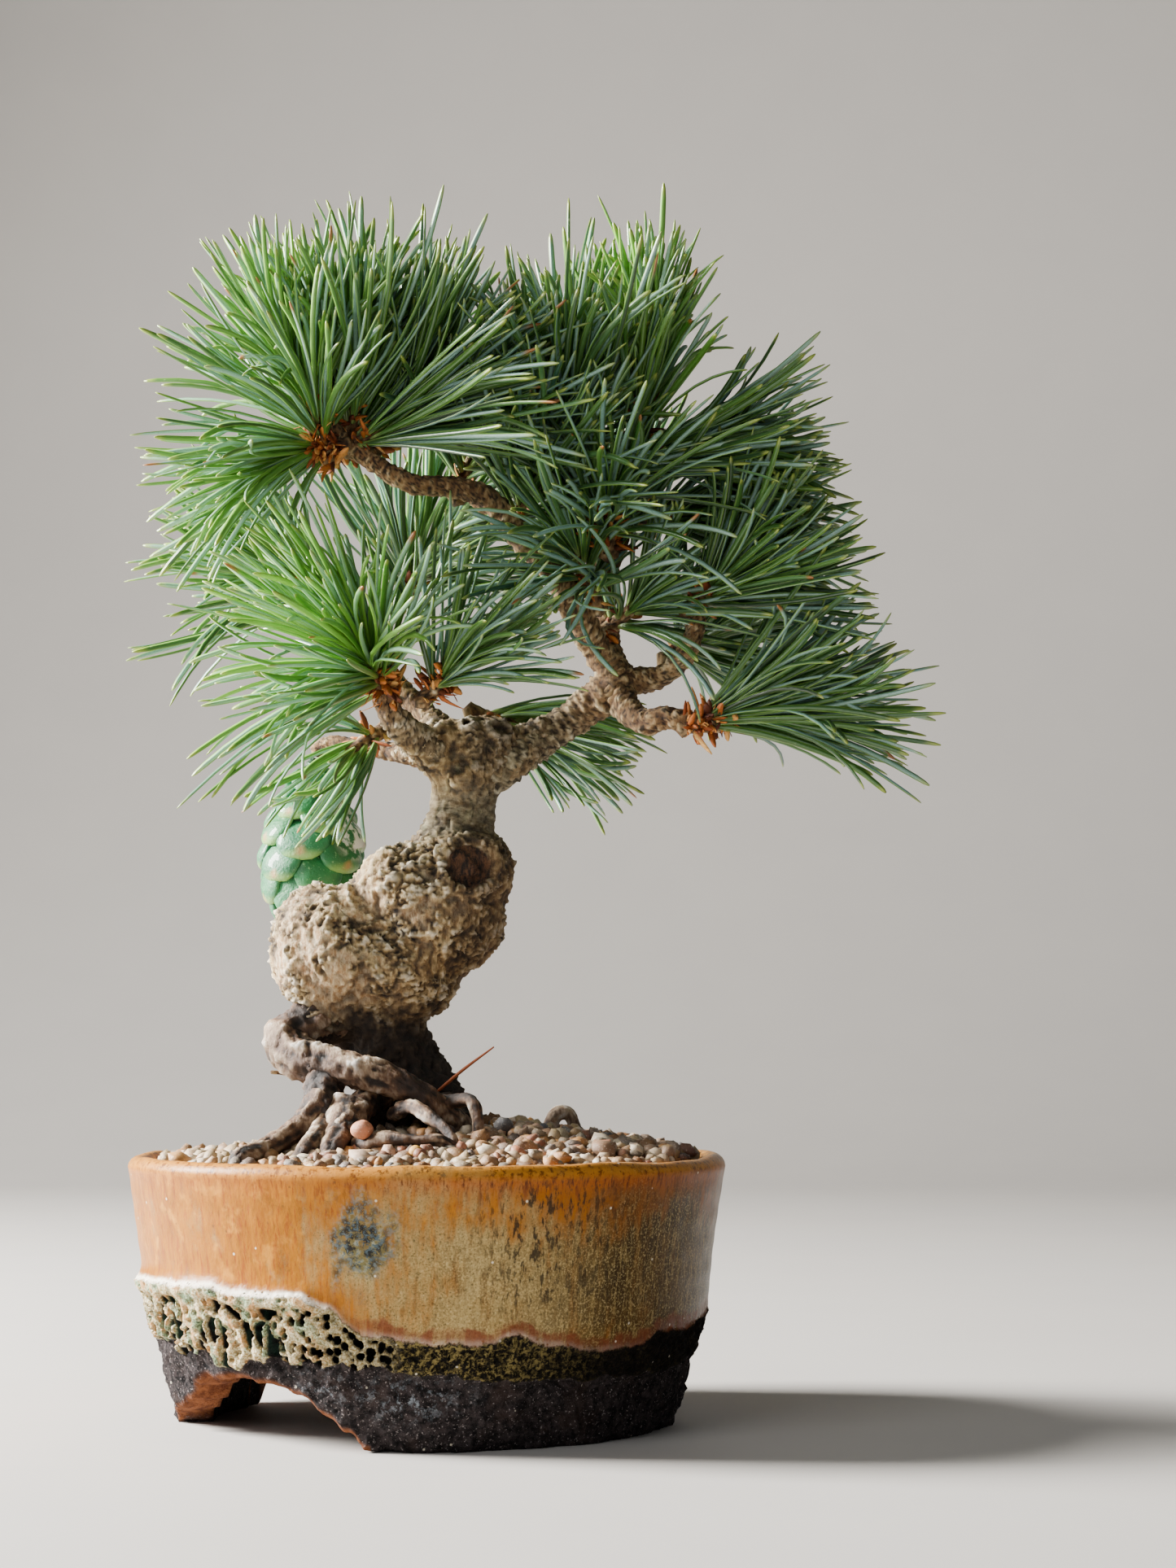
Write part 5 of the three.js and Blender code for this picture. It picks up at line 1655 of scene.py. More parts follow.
@dataclass
class Wood:
    """Every root and branch outside the trunk."""

    roots: list[Limb] = listed(
        Limb(
            "serpentine_root",
            [
                (-12, 1, 32, 4.6), (-19, -4, 33, 5.0), (-28, -8, 32.5, 5.3), (-33.5, -12, 28, 5.5),
                (-29, -17, 23, 4.9), (-18, -22, 20.5, 4.2), (-8, -23, 18.4, 3.7), (0, -22, 14, 3.4),
                (8, -18, 7, 3.2), (12, -15, -2, 3.0),
            ],
        ),
        Limb(
            "buttress_root",
            [
                (-20, -19, 22, 3), (-23.5, -21, 17, 4.6), (-24, -24, 12, 5.4), (-22, -26, 7, 5),
                (-19, -25, -2, 4)
            ],
        ),
        Limb(
            "left_root",
            [(-24, -24, 13, 3.6), (-29, -29, 7, 3), (-36, -37.5, 2.5, 2.5), (-41.5, -44.5, 0.2, 2.1),
             (-43, -46, -5, 1.6)],
        ),
        Limb(
            "front_left_root",
            [(-22, -25, 9, 2.6), (-24.7, -36, 4.5, 2.3), (-27.7, -44, -0.5, 2), (-29, -48, -6, 1.6)]
        ),
        Limb(
            "front_root",
            [(-18, -25, 11, 3.6), (-19.4, -36, 4, 3.2), (-21, -44, -1.3, 2.8), (-22, -48, -7, 2.2)]
        ),
        Limb(
            "knuckle_root",
            [(-8, -8, 16, 3), (-13, -17, 13.5, 3.6), (-16, -26, 10.5, 3.6), (-18.5, -33, 6, 3)]
        ),
        Limb(
            "bent_root",
            [(-3, -8, 14, 2.4), (1, -16, 12, 2.1), (7.6, -22, 13.4, 1.8), (11.6, -26, 13.2, 1.6),
             (12.9, -27.6, 9, 1.4), (12.5, -28, -2, 1.2)],
        ),
        Limb(
            "arch_root",
            [(-7, -8, 9, 2), (-7, -20, 10, 1.8), (-3, -28, 12, 1.7), (2, -34, 10, 1.6), (7, -38, 6, 1.4),
             (10, -40, -2, 1.2)],
        ),
        Limb(
            "low_root",
            [(-14, -27, 6, 2), (-14, -37, 3.5, 1.8), (-8, -42, 5, 1.7), (-1, -43, 4.4, 1.5),
             (5.6, -42, 4.5, 1.4), (12, -41, -2, 1.2)],
        ),
        Limb(
            "hoop_root",
            [(29, 8, -3, 1.9), (29.5, 8, 5, 1.7), (31, 8, 9, 1.7), (33.8, 8, 9.6, 1.6), (36, 8, 6, 1.4),
             (37, 8, -3, 1.2)],
        ),
    )
    branches: list[Limb] = listed(
        Limb(
            "right_branch",
            [(10, 2, 94, 6), (19, 2, 96.5, 5.2), (30, 4, 104, 4.5), (38, 4, 109, 4.3), (45, 2, 115, 5),
             (47, 2, 118, 4.4)],
            grey=1.0,
        ),
        Limb(
            "crown_left_branch",
            [(46, 2, 117, 3.6), (40, 0, 126, 3.4), (35.5, -4, 134, 3.4), (31, -8, 142, 3.2),
             (25.6, -10, 147, 3.2), (20, -12, 153, 3.1), (14.7, -14, 159, 2.8), (6, -15, 162, 2.5),
             (-3, -16, 162.4, 2.4), (-12, -16, 167, 2.2), (-20, -16, 172, 2)],
            young=0.5,
        ),
        Limb(
            "crown_left_twig", [(-18, -16, 170, 1.8), (-26, -17, 180, 1.7), (-32, -18, 190, 1.4)], young=0.7
        ),
        Limb("crown_top_twig", [(-14, -16, 168, 1.8), (-18, -10, 179, 1.7), (-19, -6, 190, 1.4)], young=0.7),
        Limb(
            "apex_branch",
            [(46, 2, 117, 3.4), (43.6, 5, 128, 3), (43, 4, 142, 3), (47, 0, 154, 2.8), (50.6, 0, 174, 2.5),
             (52, 0, 193, 2)],
            young=0.4,
        ),
        Limb("back_crown_branch", [(43, 4, 140, 2.4), (41, 13, 147, 2.2), (39, 20, 155, 1.8)], young=0.5),
        Limb(
            "back_left_crown_branch",
            [(30, -8, 143, 2.4), (22, 2, 152, 2.2), (12, 8, 162, 2), (6, 10, 170, 1.6)],
            young=0.5,
        ),
        Limb(
            "right_upper_branch",
            [(47, 3, 116, 3.2), (57.6, 0, 117.5, 2.6), (63.5, -4, 123, 2.4), (65.7, -6, 132, 2.1),
             (66.5, -6, 139, 1.7)],
            young=0.4,
        ),
        Limb(
            "right_lower_branch",
            [(46, 1, 113, 3.4), (52.5, -6, 105.5, 3), (58.3, -10, 106, 2.8), (65.8, -12, 104.5, 2.4),
             (71, -12, 104, 1.9)],
            young=0.4,
        ),
        Limb("back_right_branch", [(47, 4, 116, 2.8), (54, 12, 117, 2.5), (60, 17, 121, 2)], young=0.4),
        Limb(
            "left_branch",
            [(5, -1, 96, 4.4), (-5, -10, 102, 3.6), (-9, -14, 107, 3), (-12, -18, 114, 2.2)],
            grey=0.6,
            young=0.4,
        ),
        Limb(
            "back_left_branch",
            [
                (7, 7, 99, 3.6), (-2, 22, 110, 3), (-18, 31, 125, 2.7), (-29, 33, 138, 2.3),
                (-35, 34, 149, 1.8)
            ],
            young=0.4,
        ),
        Limb("back_twig", [(10, 9, 98, 2.8), (10, 17, 103, 2.4), (12, 24, 106, 1.9)], young=0.4),
        Limb(
            "cone_branch",
            [(4, 5, 96, 3), (-7, 10, 99, 2.5), (-17, 16, 101, 2.1), (-27, 22, 102.5, 1.8),
             (-30.5, 24, 100.5, 1.6)],
            young=0.4,
        ),
    )

    def build(self) -> None:
        """Makes them all."""
        root, branch = BarkFinish(Bark.ROOT).make(), BarkFinish(Bark.BRANCH).make()
        for limb in self.roots:
            limb.kind = Bark.ROOT
            limb.build(root)
        for limb in self.branches:
            limb.build(branch)


# ---- needles
def blades(
    start: Array,
    way: Array,
    bend: Array,
    length: Array,
    half: Array,
    inward: Array,
    stops: list[tuple[float, float]],
    thick: tuple[float, float] = (0.35, 0.55),
    hook: Union[Array, float] = 0.0,
) -> Shape:
    """Many tapering blades, each a four-cornered section carried along a bent line.

    The line is start + length * (way * t + bend * t**2 / 2 + hook * t**3 / 6). The section has two
    edges, a low outer back and a higher inner ridge.

    Args:
        start: Where each blade starts.
        way: Its direction there.
        bend: How its direction changes along it.
        length: Its length.
        half: Half of its width.
        inward: The direction that its ridge faces.
        stops: (t, share of the width) for each ring.
        thick: How far back and ridge stand out, in half widths.
        hook: How the bend itself changes along each blade.

    Returns:
        The closed blades, with the marks "along" and "side", which is 0 on the back, 0.5 at the
        edges and 1 on the ridge.
    """
    t = np.array([s[0] for s in stops])[None, :, None]
    share = np.array([s[1] for s in stops])[None, :, None]
    count, rings = len(start), len(stops)
    hook = np.broadcast_to(hook, bend.shape)[:, None]
    run = way[:, None] * t + bend[:, None] * t**2 / 2 + hook * t**3 / 6
    path = start[:, None] + length[:, None, None] * run
    tangent = unit(way[:, None] + bend[:, None] * t + hook * t**2 / 2)
    ridge = unit(inward[:, None] - tangent * (inward[:, None] * tangent).sum(-1, keepdims=True))
    side = np.cross(tangent, ridge)
    wide = half[:, None, None] * share
    corners = [-side * wide, ridge * wide * thick[1], side * wide, -ridge * wide * thick[0]]
    points = np.stack([path + c for c in corners], 2).reshape(-1, 3)
    one = lattice(rings, 4)
    last = 4 * (rings - 1)
    one = np.vstack([one, [[3, 2, 1, 0]], [[last, last + 1, last + 2, last + 3]]])
    quads = (one[None] + 4 * rings * np.arange(count)[:, None, None]).reshape(-1, 4)
    along = np.broadcast_to(t, (count, rings, 1)).repeat(4, 2).reshape(-1)
    edge = np.broadcast_to(np.array([0.5, 1.0, 0.5, 0.0]), (count, rings, 4)).reshape(-1)
    return Shape(points, quads, marks={"along": along.copy(), "side": edge.copy()})


@dataclass(frozen=True)
class Shoot:
    """One shoot and the fascicles of five needles on it. Places are measured from the lip.

    Angles are degrees between a fascicle and the shoot: the oldest, at its foot, stand widest.
    bare is a direction with the cosine past which hardly any fascicle grows that way.
    """

    foot: tuple[float, float, float]
    tip: tuple[float, float, float]
    fascicles: int
    length: float
    widest: float
    tightest: float
    droop: float = 0.25
    young: float = 0.3
    lean: tuple[float, float, float] = (0.0, 0.0, 0.0)
    scales: int = 10
    bare: tuple[float, float, float, float] = (0.0, 0.0, 0.0, 2.0)

    def frame(self) -> tuple[Array, Array, Array, Array]:
        """Foot, axis and two directions across the shoot."""
        foot, tip = np.array(self.foot, float), np.array(self.tip, float)
        axis = unit(tip - foot)
        guess = np.array([0.0, 1.0, 0.0]) if abs(axis[1]) < 0.8 else np.array([1.0, 0.0, 0.0])
        across = unit(np.cross(axis, guess))
        return foot, axis, across, np.cross(axis, across)

    def needles(self, rng: np.random.Generator) -> Shape:
        """The shoot's needles.

        Fascicles follow each other up the shoot by the golden angle. A fascicle's direction is
        cos(angle) * axis + sin(angle) * radial + lean. Its five needles open by a few degrees
        round that, and each bends down, out and a little at random.

        Args:
            rng: The source of the small irregularities.

        Returns:
            The needles, with their marks.
        """
        foot, axis, across, other = self.frame()
        n = self.fascicles
        up = (np.arange(n) + 0.5) / n
        turn = np.arange(n) * GOLDEN_TURN + rng.normal(0, 0.25, n)
        radial = np.cos(turn)[:, None] * across + np.sin(turn)[:, None] * other
        angle = np.radians(self.tightest + (self.widest - self.tightest) * (1 - up) ** 0.85)
        angle = angle + rng.normal(0, 0.09, n)
        way = np.cos(angle)[:, None] * axis + np.sin(angle)[:, None] * radial + np.array(self.lean)
        way = unit(way + rng.normal(0, 0.07, (n, 3)))
        grown = way @ unit(np.array(self.bare[:3]) + 1e-9) < self.bare[3]
        grown |= rng.random(n) < 0.05
        way, radial, up = way[grown], radial[grown], up[grown]
        n = len(way)
        long = np.linalg.norm(np.array(self.tip, float) - foot)
        start = foot + axis * long * up[:, None] ** 0.9 + radial * 1.1
        five = np.arange(5) * 2 * np.pi / 5
        spin = rng.uniform(0, 2 * np.pi, (n, 1)) + five
        flat_a = unit(np.cross(way, rng.normal(size=(n, 3))))
        flat_b = np.cross(way, flat_a)
        out = np.cos(spin)[..., None] * flat_a[:, None] + np.sin(spin)[..., None] * flat_b[:, None]
        open_by = rng.uniform(0.05, 0.20, (n, 1, 1)) * rng.uniform(0.6, 1.5, (n, 5, 1))
        each = unit(way[:, None] + out * open_by)
        outward = np.repeat(radial[:, None], 5, 1)
        fresh = np.clip(self.young * (0.35 + 0.95 * up), 0, 1)
        sag = self.droop * (0.55 + 0.75 * (1 - up))[:, None, None] * np.array([0.0, 0.0, -1.0])
        bend = sag + out * rng.uniform(-0.08, 0.22, (n, 5, 1)) + rng.normal(0, 0.09, (n, 5, 3))
        bend = bend + rng.normal(0, 0.20, (n, 1, 3)) - outward * 0.10 * fresh[:, None, None]
        hook = rng.normal(0, 0.55, (n, 1, 3)) + rng.normal(0, 0.35, (n, 5, 3)) + 0.5 * sag
        length = self.length * (1.0 - 0.22 * up**2)[:, None] * rng.uniform(0.91, 1.03, (n, 5))
        length = length * rng.choice([1.0, 0.82, 0.6], (n, 1), p=[0.88, 0.09, 0.03])
        half = rng.uniform(0.62, 0.78, (n, 5))
        stops = [(0.0, 0.6), (0.05, 0.85), (0.18, 1.0), (0.36, 1.0), (0.54, 1.0), (0.70, 1.0), (0.84, 0.97),
                 (0.94, 0.88), (0.98, 0.66), (1.0, 0.25)]
        made = blades(
            np.repeat(start, 5, 0) + out.reshape(-1, 3) * 0.25,
            each.reshape(-1, 3),
            bend.reshape(-1, 3),
            length.reshape(-1),
            half.reshape(-1),
            -out.reshape(-1, 3),
            stops,
            (0.46, 0.66),
            hook.reshape(-1, 3),
        )
        per = 4 * len(stops)
        made.marks["tone"] = np.repeat(rng.beta(2.2, 2.2, 5 * n), per)
        shade = np.clip(np.repeat(fresh, 5) + rng.normal(0, 0.08, 5 * n), 0, 1)
        made.marks["young"] = np.repeat(shade, per)
        made.marks["dry"] = np.repeat((rng.random(5 * n) < 0.03).astype(float), per)
        return made

    def bud_scales(self, rng: np.random.Generator) -> Shape:
        """Papery scales and stubs round the shoot's foot: short wide blades, curled outwards."""
        foot, axis, across, other = self.frame()
        n = max(int(self.scales * 1.5), 8)
        turn = rng.uniform(0, 2 * np.pi, n)
        radial = np.cos(turn)[:, None] * across + np.sin(turn)[:, None] * other
        up = rng.uniform(-0.3, 0.6, (n, 1))
        long = np.linalg.norm(np.array(self.tip, float) - foot)
        start = foot + axis * long * up + radial * rng.uniform(0.8, 2.0, (n, 1))
        way = unit(axis * rng.uniform(-0.2, 0.9, (n, 1)) + radial + rng.normal(0, 0.35, (n, 3)))
        bend = radial * rng.uniform(-0.6, 1.0, (n, 1)) + rng.normal(0, 0.5, (n, 3))
        length = rng.uniform(1.8, 4.8, n)
        half = rng.uniform(0.5, 1.15, n)
        stops = [(0.0, 0.5), (0.3, 1.0), (0.6, 0.95), (0.85, 0.7), (1.0, 0.25)]
        made = blades(start, way, bend, length, half, -radial, stops, (0.15, 0.25))
        made.marks["tone"] = np.repeat(rng.random(n), 4 * len(stops))
        return made

    def stem(self) -> list[tuple[float, ...]]:
        """Stations of the shoot's own short stem, from a little below its foot to its tip."""
        foot, axis, _, _ = self.frame()
        tip = np.array(self.tip, float)
        rows = [(foot - axis * 5, 1.9), (foot, 1.8), ((foot + tip) / 2, 1.5), (tip, 0.9)]
        return [(*p.tolist(), r) for p, r in rows]


TUFTS: dict[str, list[Shoot]] = {
    "crown_left_low_tuft": [
        Shoot((-24, -18, 171), (-31, -20, 170), 18, 41, 36, 6, 0.30, 0.55, (-0.10, -0.04, -0.16), 90,
              (0.4, 0, -1, 0.62)),
        Shoot((-19, -15, 172), (-8, -19, 175), 14, 50, 40, 10, 0.12, 0.10, (0.3, 0.0, 0.2), 14),
    ],
    "crown_left_tuft": [
        Shoot((-25, -18, 172), (-32, -18, 192), 62, 37, 60, 5, 0.02, 0.66, (0.06, -0.03, 0.14), 70)
    ],
    "crown_top_tuft": [
        Shoot((-19, -12, 175), (-18, -12, 192), 52, 42, 42, 4, 0.02, 0.42, (0.06, 0, 0.12), 44),
        Shoot((-12, -8, 174), (-3, -7, 186), 44, 46, 50, 8, 0.06, 0.22, (0.2, 0, 0.10), 20),
    ],
    "crown_inner_tuft": [
        Shoot((8, 2, 166), (14, 0, 180), 32, 42, 60, 10, 0.12, 0.20, (0.1, -0.05, 0.10), 14),
        Shoot((22, -7, 156), (27, -9, 168), 24, 43, 60, 10, 0.16, 0.12, (0.08, -0.08, 0.12), 10),
    ],
    "mid_left_tuft": [
        Shoot(
            (-29, 31, 141), (-40, 31, 149), 34, 41, 56, 6, 0.30, 0.45, (-0.22, -0.1, 0.02), 44,
            (0.5, 0, -1, 0.3)
        )
    ],
    "mid_back_tuft": [
        Shoot(
            (-8, 33, 143), (-3, 34, 154), 34, 42, 70, 10, 0.18, 0.30, (0.04, -0.12, 0.02), 14,
            (0, 0, -1, 0.35)
        )
    ],
    "low_left_tuft": [
        Shoot((-10, -18, 112), (-15, -25, 120), 56, 44, 92, 8, 0.24, 0.80, (-0.26, -0.05, 0.08), 90,
              (0.62, 0, -0.78, 0.06))
    ],
    "low_front_tuft": [
        Shoot((2, -20, 112), (9, -23, 119), 18, 36, 66, 10, 0.12, 0.25, (0.30, 0, 0.24), 40, (0, 0, -1, 0.1))
    ],
    "low_back_tuft": [
        Shoot((-13, 0, 103), (-20, -4, 98), 8, 30, 48, 10, 0.16, 0.45, (-0.1, -0.12, -0.2), 14,
              (1, 0, 0.1, 0.25))
    ],
    "behind_trunk_tuft": [
        Shoot((13, 28, 110), (23, 28, 107), 13, 36, 44, 12, 0.22, 0.2, (0.18, 0, -0.02), 8)
    ],
    "apex_tuft": [Shoot((51.5, 0, 177), (52, 0, 198), 62, 36, 32, 3, 0.02, 0.85, (0.05, 0, 0.12), 56)],
    "apex_right_tuft": [
        Shoot(
            (52, 0, 172), (64, 0, 173), 32, 41, 32, 6, -0.02, 0.22, (0.16, -0.04, 0.0), 18, (-1, 0, 0.2, 0.3)
        )
    ],
    "apex_left_tuft": [Shoot((34, -4, 171), (35, -5, 187), 34, 42, 38, 6, 0.04, 0.30, (-0.08, 0, 0.12), 10)],
    "right_middle_tuft": [
        Shoot((54, 8, 158), (66, 9, 159), 32, 41, 36, 8, 0.04, 0.18, (0.18, -0.04, 0.02), 14, (-1, 0, 0, 0.3))
    ],
    "centre_tuft": [
        Shoot((44, -12, 150), (44, -15, 160), 20, 37, 78, 10, 0.16, 0.20, (0.02, -0.05, 0.10), 60),
        Shoot((40, -5, 137), (36, -11, 146), 20, 42, 84, 12, 0.30, 0.10, (-0.05, -0.1, 0.05), 16),
        Shoot((45, 2, 130), (53, -2, 136), 16, 38, 66, 12, 0.24, 0.10, (0.12, -0.08, 0.05), 12),
    ],
    "back_crown_tuft": [Shoot((42, 28, 157), (43, 31, 167), 34, 39, 70, 8, 0.14, 0.25, (0, 0, 0.04), 8)],
    "right_upper_tuft": [
        Shoot(
            (66, -6, 135), (73, -7, 140), 38, 40, 52, 8, 0.08, 0.20, (0.24, -0.03, 0.04), 22,
            (-1, 0, -0.4, 0.3)
        )
    ],
    "right_lower_tuft": [
        Shoot((66, -12, 104.5), (77, -13, 107.5), 34, 47, 34, 5, 0.10, 0.20, (0.10, 0.0, 0.04), 90,
              (-1, 0, -0.3, 0.3))
    ],
    "back_right_tuft": [Shoot((62, 24, 126), (70, 27, 131), 32, 39, 60, 10, 0.12, 0.2, (0.08, 0, 0), 8)],
}


@dataclass
class Foliage:
    """The tufts of needles, the shoots that carry them and the papery scales round those."""

    tufts: dict[str, list[Shoot]] = field(default_factory=lambda: TUFTS)

    def build(self) -> None:
        """Makes one piece for each tuft's needles, one of all stems and one of all scales."""
        needle_finish = NeedleFinish().make()
        scales, stems = [], []
        for number, (node, shoots) in enumerate(self.tufts.items()):
            rng = np.random.default_rng(100 + number)
            tuft = Shape.joined([shoot.needles(rng) for shoot in shoots])
            tuft.points = SITE.on_lip(tuft.points)
            piece = tuft.to_object(node.replace("_tuft", "_needles"), needle_finish)
            dress(piece, "pine_needles", node)
            scales += [shoot.bud_scales(rng) for shoot in shoots]
            stems += [
                Limb(f"{node}_{k}", shoot.stem(), Bark.BRANCH, young=0.6, pitch=0.8).build_shape()
                for k, shoot in enumerate(shoots)
            ]
        flakes = Shape.joined(scales)
        flakes.points = SITE.on_lip(flakes.points)
        dress(flakes.to_object("bud_scales", ScaleFinish().make()), "dry_needle")
        stem_piece = Shape.joined(stems).to_object("shoot_stems", BarkFinish(Bark.BRANCH).make())
        dress(stem_piece, "branch_bark")


# ---- cone
@dataclass
class SeedCone:
    """An unripe cone that hangs behind the left burl, of thick lapping scales."""

    top: tuple[float, float, float] = (-31.0, 24.0, 99.5)
    radius: float = 13.2
    length: float = 46.0
    scales: int = 38

    def profile(self, s: Array) -> Array:
        """Radius at s from 0 at the lower tip to 1 at the stalk: sin(pi * s**0.8) ** 0.7."""
        return self.radius * np.sin(np.pi * np.clip(s, 1e-3, 1 - 1e-3) ** 0.8) ** 0.7

    def pillow(self) -> tuple[Shape, Array]:
        """One scale as a flattened ball of 12 rings of 20, squarer than round, thin at its root.

        Returns:
            The shape in units of its half-lengths (across, along, thick), and how far along its
            free edge each point lies, from 0 to 1.
        """
        rows, columns = 12, 20
        sphere = ball(rows, columns)
        height = sphere[:, 2]
        flat = np.sign(sphere[:, :2]) * np.abs(sphere[:, :2]) ** 0.86
        free = (1 - flat[:, 1]) / 2
        thick = height * (0.35 + 0.75 * free)
        thick = thick + 0.35 * (1 - (flat**2).sum(1)).clip(0) * (height > 0)
        points = np.column_stack([flat, thick])
        return Shape(points, lattice(rows, columns), pole_fans(rows, columns)), free

    def build_shape(self) -> Shape:
        """A core turned from the profile, and the scales on it by the golden angle.

        Returns:
            The shape, with its marks.
        """
        base, free = self.pillow()
        i = np.arange(self.scales)
        s = 0.93 - 0.89 * ((i + 0.5) / self.scales) ** 0.9
        turn = i * GOLDEN_TURN
        r = self.profile(s)
        slope = (self.profile(s + 0.02) - self.profile(s - 0.02)) / (0.04 * self.length)
        ring = np.stack([np.cos(turn), np.sin(turn), 0 * turn], -1)
        up = np.array([0.0, 0.0, 1.0])
        outward = unit(ring - slope[:, None] * up)
        along = unit(up - outward * (outward @ up)[:, None])
        lifted = unit(along - 0.30 * outward)
        normal = unit(outward + 0.30 * along)
        across = np.cross(lifted, normal)
        rng = np.random.default_rng(5)
        size = 0.62 + 0.38 * (r / self.radius)
        half = np.stack([6.7 * size, 6.0 * size, 2.3 * size], -1) * rng.uniform(0.93, 1.07, (self.scales, 1))
        middle = ring * (r - 2.6)[:, None] + np.stack([0 * s, 0 * s, (s - 1) * self.length], -1)
        local = base.points[None] * half[:, None]
        points = (
            middle[:, None]
            + local[..., :1] * across[:, None]
            + local[..., 1:2] * lifted[:, None]
            + local[..., 2:] * normal[:, None]
        )
        per = len(base.points)
        shift = per * np.arange(self.scales)[:, None, None]
        body = Shape(
            points.reshape(-1, 3),
            (base.quads[None] + shift).reshape(-1, 4),
            (base.tris[None] + shift).reshape(-1, 3),
        )
        tip = np.hypot(base.points[:, 0], base.points[:, 1] + 0.75)
        body.marks = {
            "out": np.tile(np.clip(free, 0, 1), self.scales),
            "tone": np.repeat(rng.random(self.scales), per),
            "umbo": np.tile(ramp(tip, 0.24, 0.10) * (base.points[:, 2] > 0), self.scales),
            "resin": np.zeros(per * self.scales),
        }
        steps = np.linspace(0.02, 0.985, 24)
        path = np.stack([0 * steps, 0 * steps, (steps - 1) * self.length], -1)
        core = tube(path, self.profile(steps) - 2.4 * np.sin(np.pi * steps) ** 0.5, 32)
        count = len(core.points)
        core.marks = {k: np.zeros(count) for k in body.marks}
        both = Shape.joined([body, core])
        p = both.points
        both.points = p + 0.30 * both.normals() * Noise(95).cloud(p / 2.5, 3)[:, None]
        blob = np.exp(-(((p - np.array([11.0, -7.0, -18.0])) / np.array([6.0, 6.0, 9.0])) ** 2).sum(1))
        blob = np.maximum(
            blob, np.exp(-(((p - np.array([-4.0, -12.0, -6.0])) / np.array([5.0, 5.0, 4.0])) ** 2).sum(1))
        )
        both.marks["resin"] = ramp(blob, 0.25, 0.6)
        both.points = both.points + SITE.on_lip(np.array(self.top))
        return both

    def build(self) -> None:
        """Makes the cone."""
        made = self.build_shape().to_object("green_seed_cone", ConeFinish().make())
        dress(made, "green_cone", "seed_cone")


# ---- loose bits
@dataclass
class Litter:
    """A dead twig in the roots and a fallen brown needle that leans on the trunk."""

    twig: list[tuple[float, ...]] = listed(
        (-24, -12, 19.5, 0.7), (-29.3, -14, 18.5, 0.6), (-33, -15, 19.6, 0.55), (-37, -16, 20, 0.4),
    )
    needle: list[tuple[float, ...]] = listed(
        (3, -12, 15.5, 0.40), (9, -15, 20.5, 0.42), (16.5, -18, 26, 0.2),
    )

    def build(self) -> None:
        """Makes both."""
        twig = Limb("dead_twig", self.twig, Bark.BRANCH, pitch=0.35).build_shape()
        line = spline(np.array(self.needle), 0.6)
        needle = tube(SITE.on_lip(line[:, :3]), line[:, 3], 10)
        needle.marks = {"tone": np.full(len(needle.points), 0.25)}
        twig_piece = twig.to_object("dead_twig_bark", BarkFinish(Bark.BRANCH).make())
        needle_piece = needle.to_object("fallen_pine_needle", ScaleFinish().make())
        dress(twig_piece, "branch_bark", "dead_twig")
        dress(needle_piece, "dry_needle", "fallen_needle")


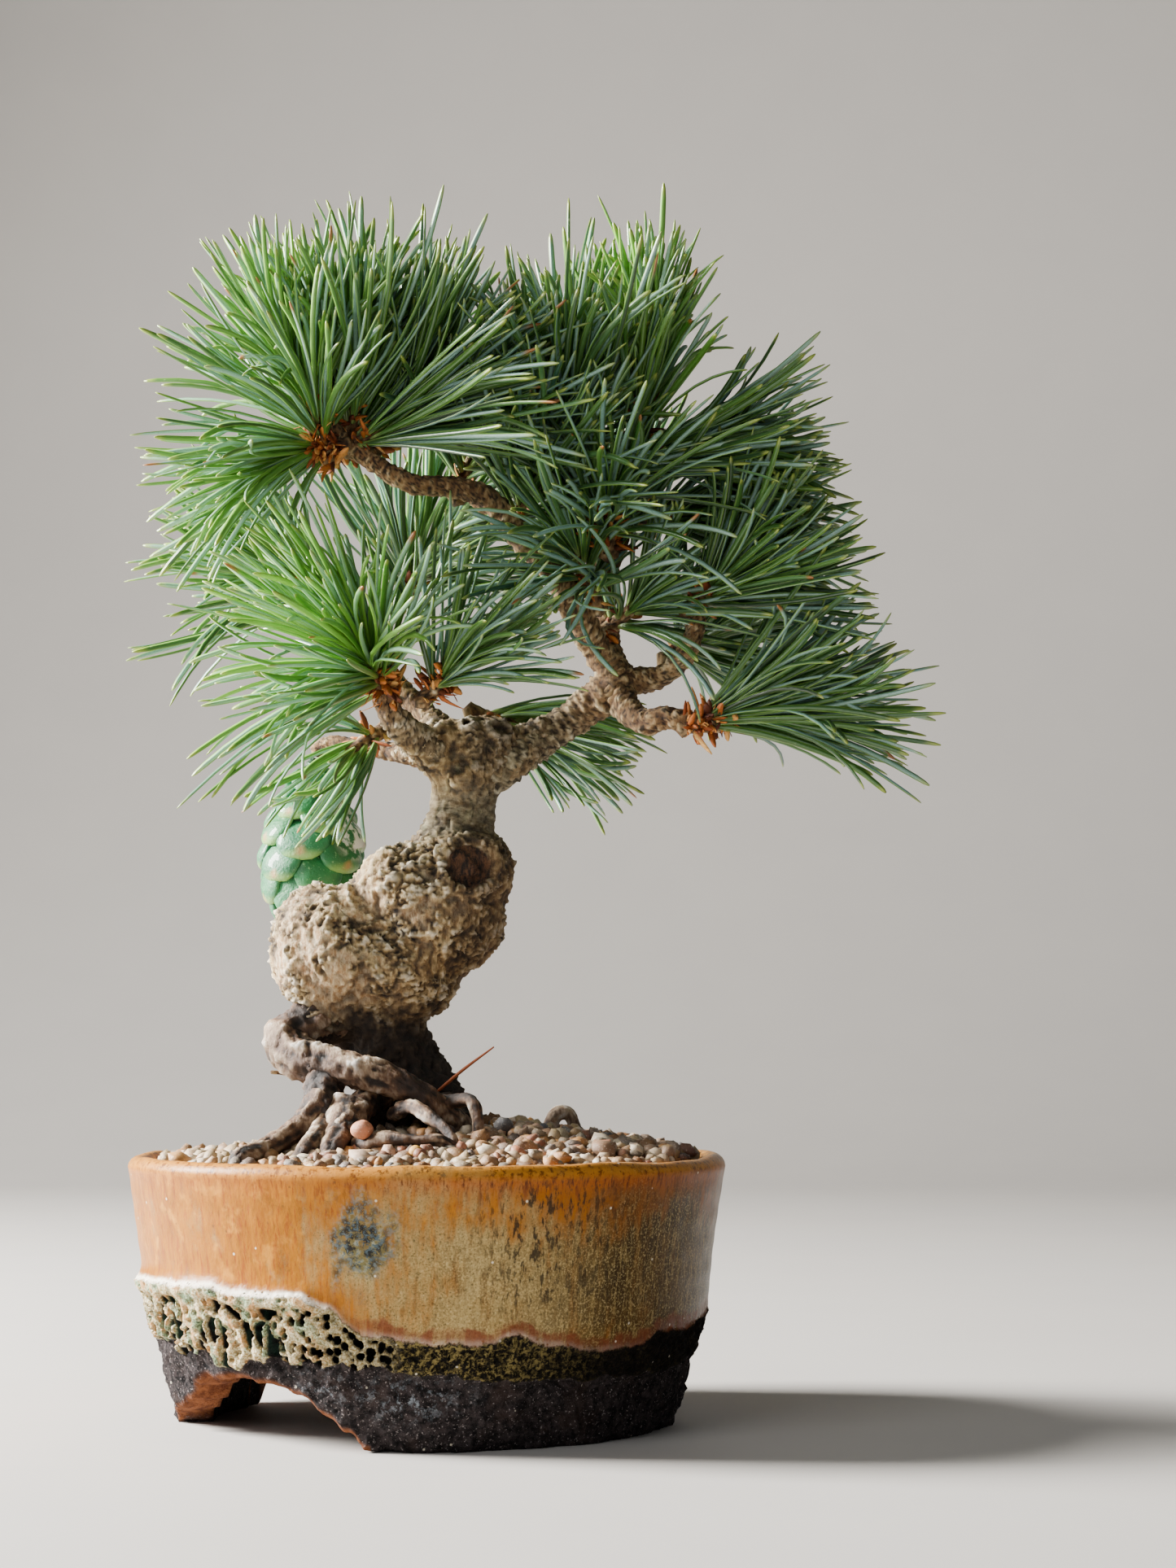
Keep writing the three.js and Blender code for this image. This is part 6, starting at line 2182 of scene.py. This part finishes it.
# ---- studio
@dataclass
class Studio:
    """A pale sweep of floor and wall, a soft window-like light from the left, and the camera."""

    eye: tuple[float, float, float] = (0.039, -0.750, 0.094)
    pitch: float = 4.612
    lens: float = 70.06
    sensor: float = 36.0
    air: float = 0.11
    aim: tuple[float, float, float] = (0.0, 0.0, 0.15)

    def sweep(self) -> bpy.types.Object:
        """The floor, carried up into a wall by a quarter circle behind the pot.

        Returns:
            The staged sweep.
        """
        turn = np.linspace(0, np.pi / 2, 24)
        bend = np.stack([1.1 + 0.7 * np.sin(turn), 0.7 - 0.7 * np.cos(turn)], -1)
        line = np.vstack([[[-2.6, 0.0]], bend, [[1.8, 3.2]]])
        x = np.array([-3.2, 3.2])
        points = np.stack(
            [np.tile(x, len(line)), np.repeat(line[:, 0], 2), np.repeat(line[:, 1], 2)], -1
        )
        mesh = bpy.data.meshes.new("pale_sweep")
        quads = lattice(len(line), 2, wrap_columns=False)
        mesh.from_pydata(points.tolist(), [], quads.tolist())
        mesh.polygons.foreach_set("use_smooth", np.ones(len(quads), bool))
        finish = Shader("pale_floor")
        tone = finish.mix(finish.noise(60.0, 3.0), "b9b5b0", "bfbbb5")
        mesh.materials.append(finish.close(tone, 0.7))
        made = linked("pale_sweep", mesh)
        return made

    def lamp(
        self,
        name: str,
        place: tuple[float, float, float],
        size: tuple[float, float],
        watts: float,
        colour: tuple[float, float, float],
    ) -> None:
        """An area light that faces the middle of the tree.

        Args:
            name: The light's name.
            place: Where it is, in metres.
            size: Its width and height in metres.
            watts: Its power.
            colour: Its colour.
        """
        light = bpy.data.lights.new(name, "AREA")
        light.shape = "RECTANGLE"
        light.size, light.size_y = size
        light.energy, light.color = watts, colour
        made = linked(name, light)
        aim = np.array(self.aim) - np.array(place)
        flat = math.hypot(aim[0], aim[1])
        made.rotation_euler = (math.atan2(flat, -aim[2]), 0.0, math.atan2(-aim[0], aim[1]))
        made.location = place

    def build(self) -> None:
        """Makes the sweep, the lights, the world and the camera."""
        self.sweep()
        self.lamp("window", (-1.05, 0.12, 0.58), (0.36, 0.50), 118.0, (1.0, 0.975, 0.94))
        self.lamp("front_soft", (-0.75, -0.95, 0.70), (0.8, 0.8), 6.0, (0.97, 0.98, 1.0))
        self.lamp("fill", (0.9, -1.2, 0.5), (1.2, 1.0), 1.0, (0.95, 0.97, 1.0))
        world = bpy.data.worlds.new("studio_air")
        world.use_nodes = True
        air = world.node_tree.nodes.get("Background")
        air.inputs["Color"].default_value = (0.80, 0.83, 0.88, 1.0)
        air.inputs["Strength"].default_value = self.air
        bpy.context.scene.world = world
        camera = bpy.data.cameras.new("camera")
        camera.lens, camera.sensor_width = self.lens, self.sensor
        camera.clip_start, camera.clip_end = 0.01, 20.0
        made = linked("camera", camera)
        made.location = (self.eye[0] + SITE.axis_x, self.eye[1] + SITE.axis_y, self.eye[2])
        made.rotation_euler = (math.radians(90.0 + self.pitch), 0.0, 0.0)
        bpy.context.scene.camera = made


def dress_kept_nodes() -> None:
    """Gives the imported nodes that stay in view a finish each."""
    finishes = {
        "soil": PlainFinish("soil_mix", "2b1f17", "6a4f38", 2.5, 0.95),
        "drain_mesh": PlainFinish("drain_mesh_plastic", "1d1f1f", "323635", 1.2, 0.55),
        "mesh_clip_wire": PlainFinish("bonsai_wire", "77777a", "a8a7a3", 0.8, 0.38, 0.9),
    }
    for node, finish in finishes.items():
        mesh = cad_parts[node].data
        mesh.materials.clear()
        mesh.materials.append(finish.make())
        LOG.info("%s: packed node kept, finish %s", node, finish.name)


def main() -> None:
    """Builds the studio and every piece."""
    logging.basicConfig(level=logging.INFO, format="%(name)s: %(message)s")
    Studio().build()
    Pot().build()
    Gravel().build()
    Stone(
        "pink_stone_dented", "pink_stone", "pink_gravel", (-13.2, -40.5, 7), (2.6, 2.2, 2.2), "d58a66"
    ).build()
    Stone(
        "amber_stone_dented", "amber_stone", "amber_gravel", (-0.4, -47.5, 2.3), (1.6, 1.5, 1.5), "d9a03a"
    ).build()
    Trunk().build()
    Wood().build()
    Litter().build()
    SeedCone().build()
    Foliage().build()
    dress_kept_nodes()
    bpy.context.view_layer.update()


if __name__ == "__main__":
    main()
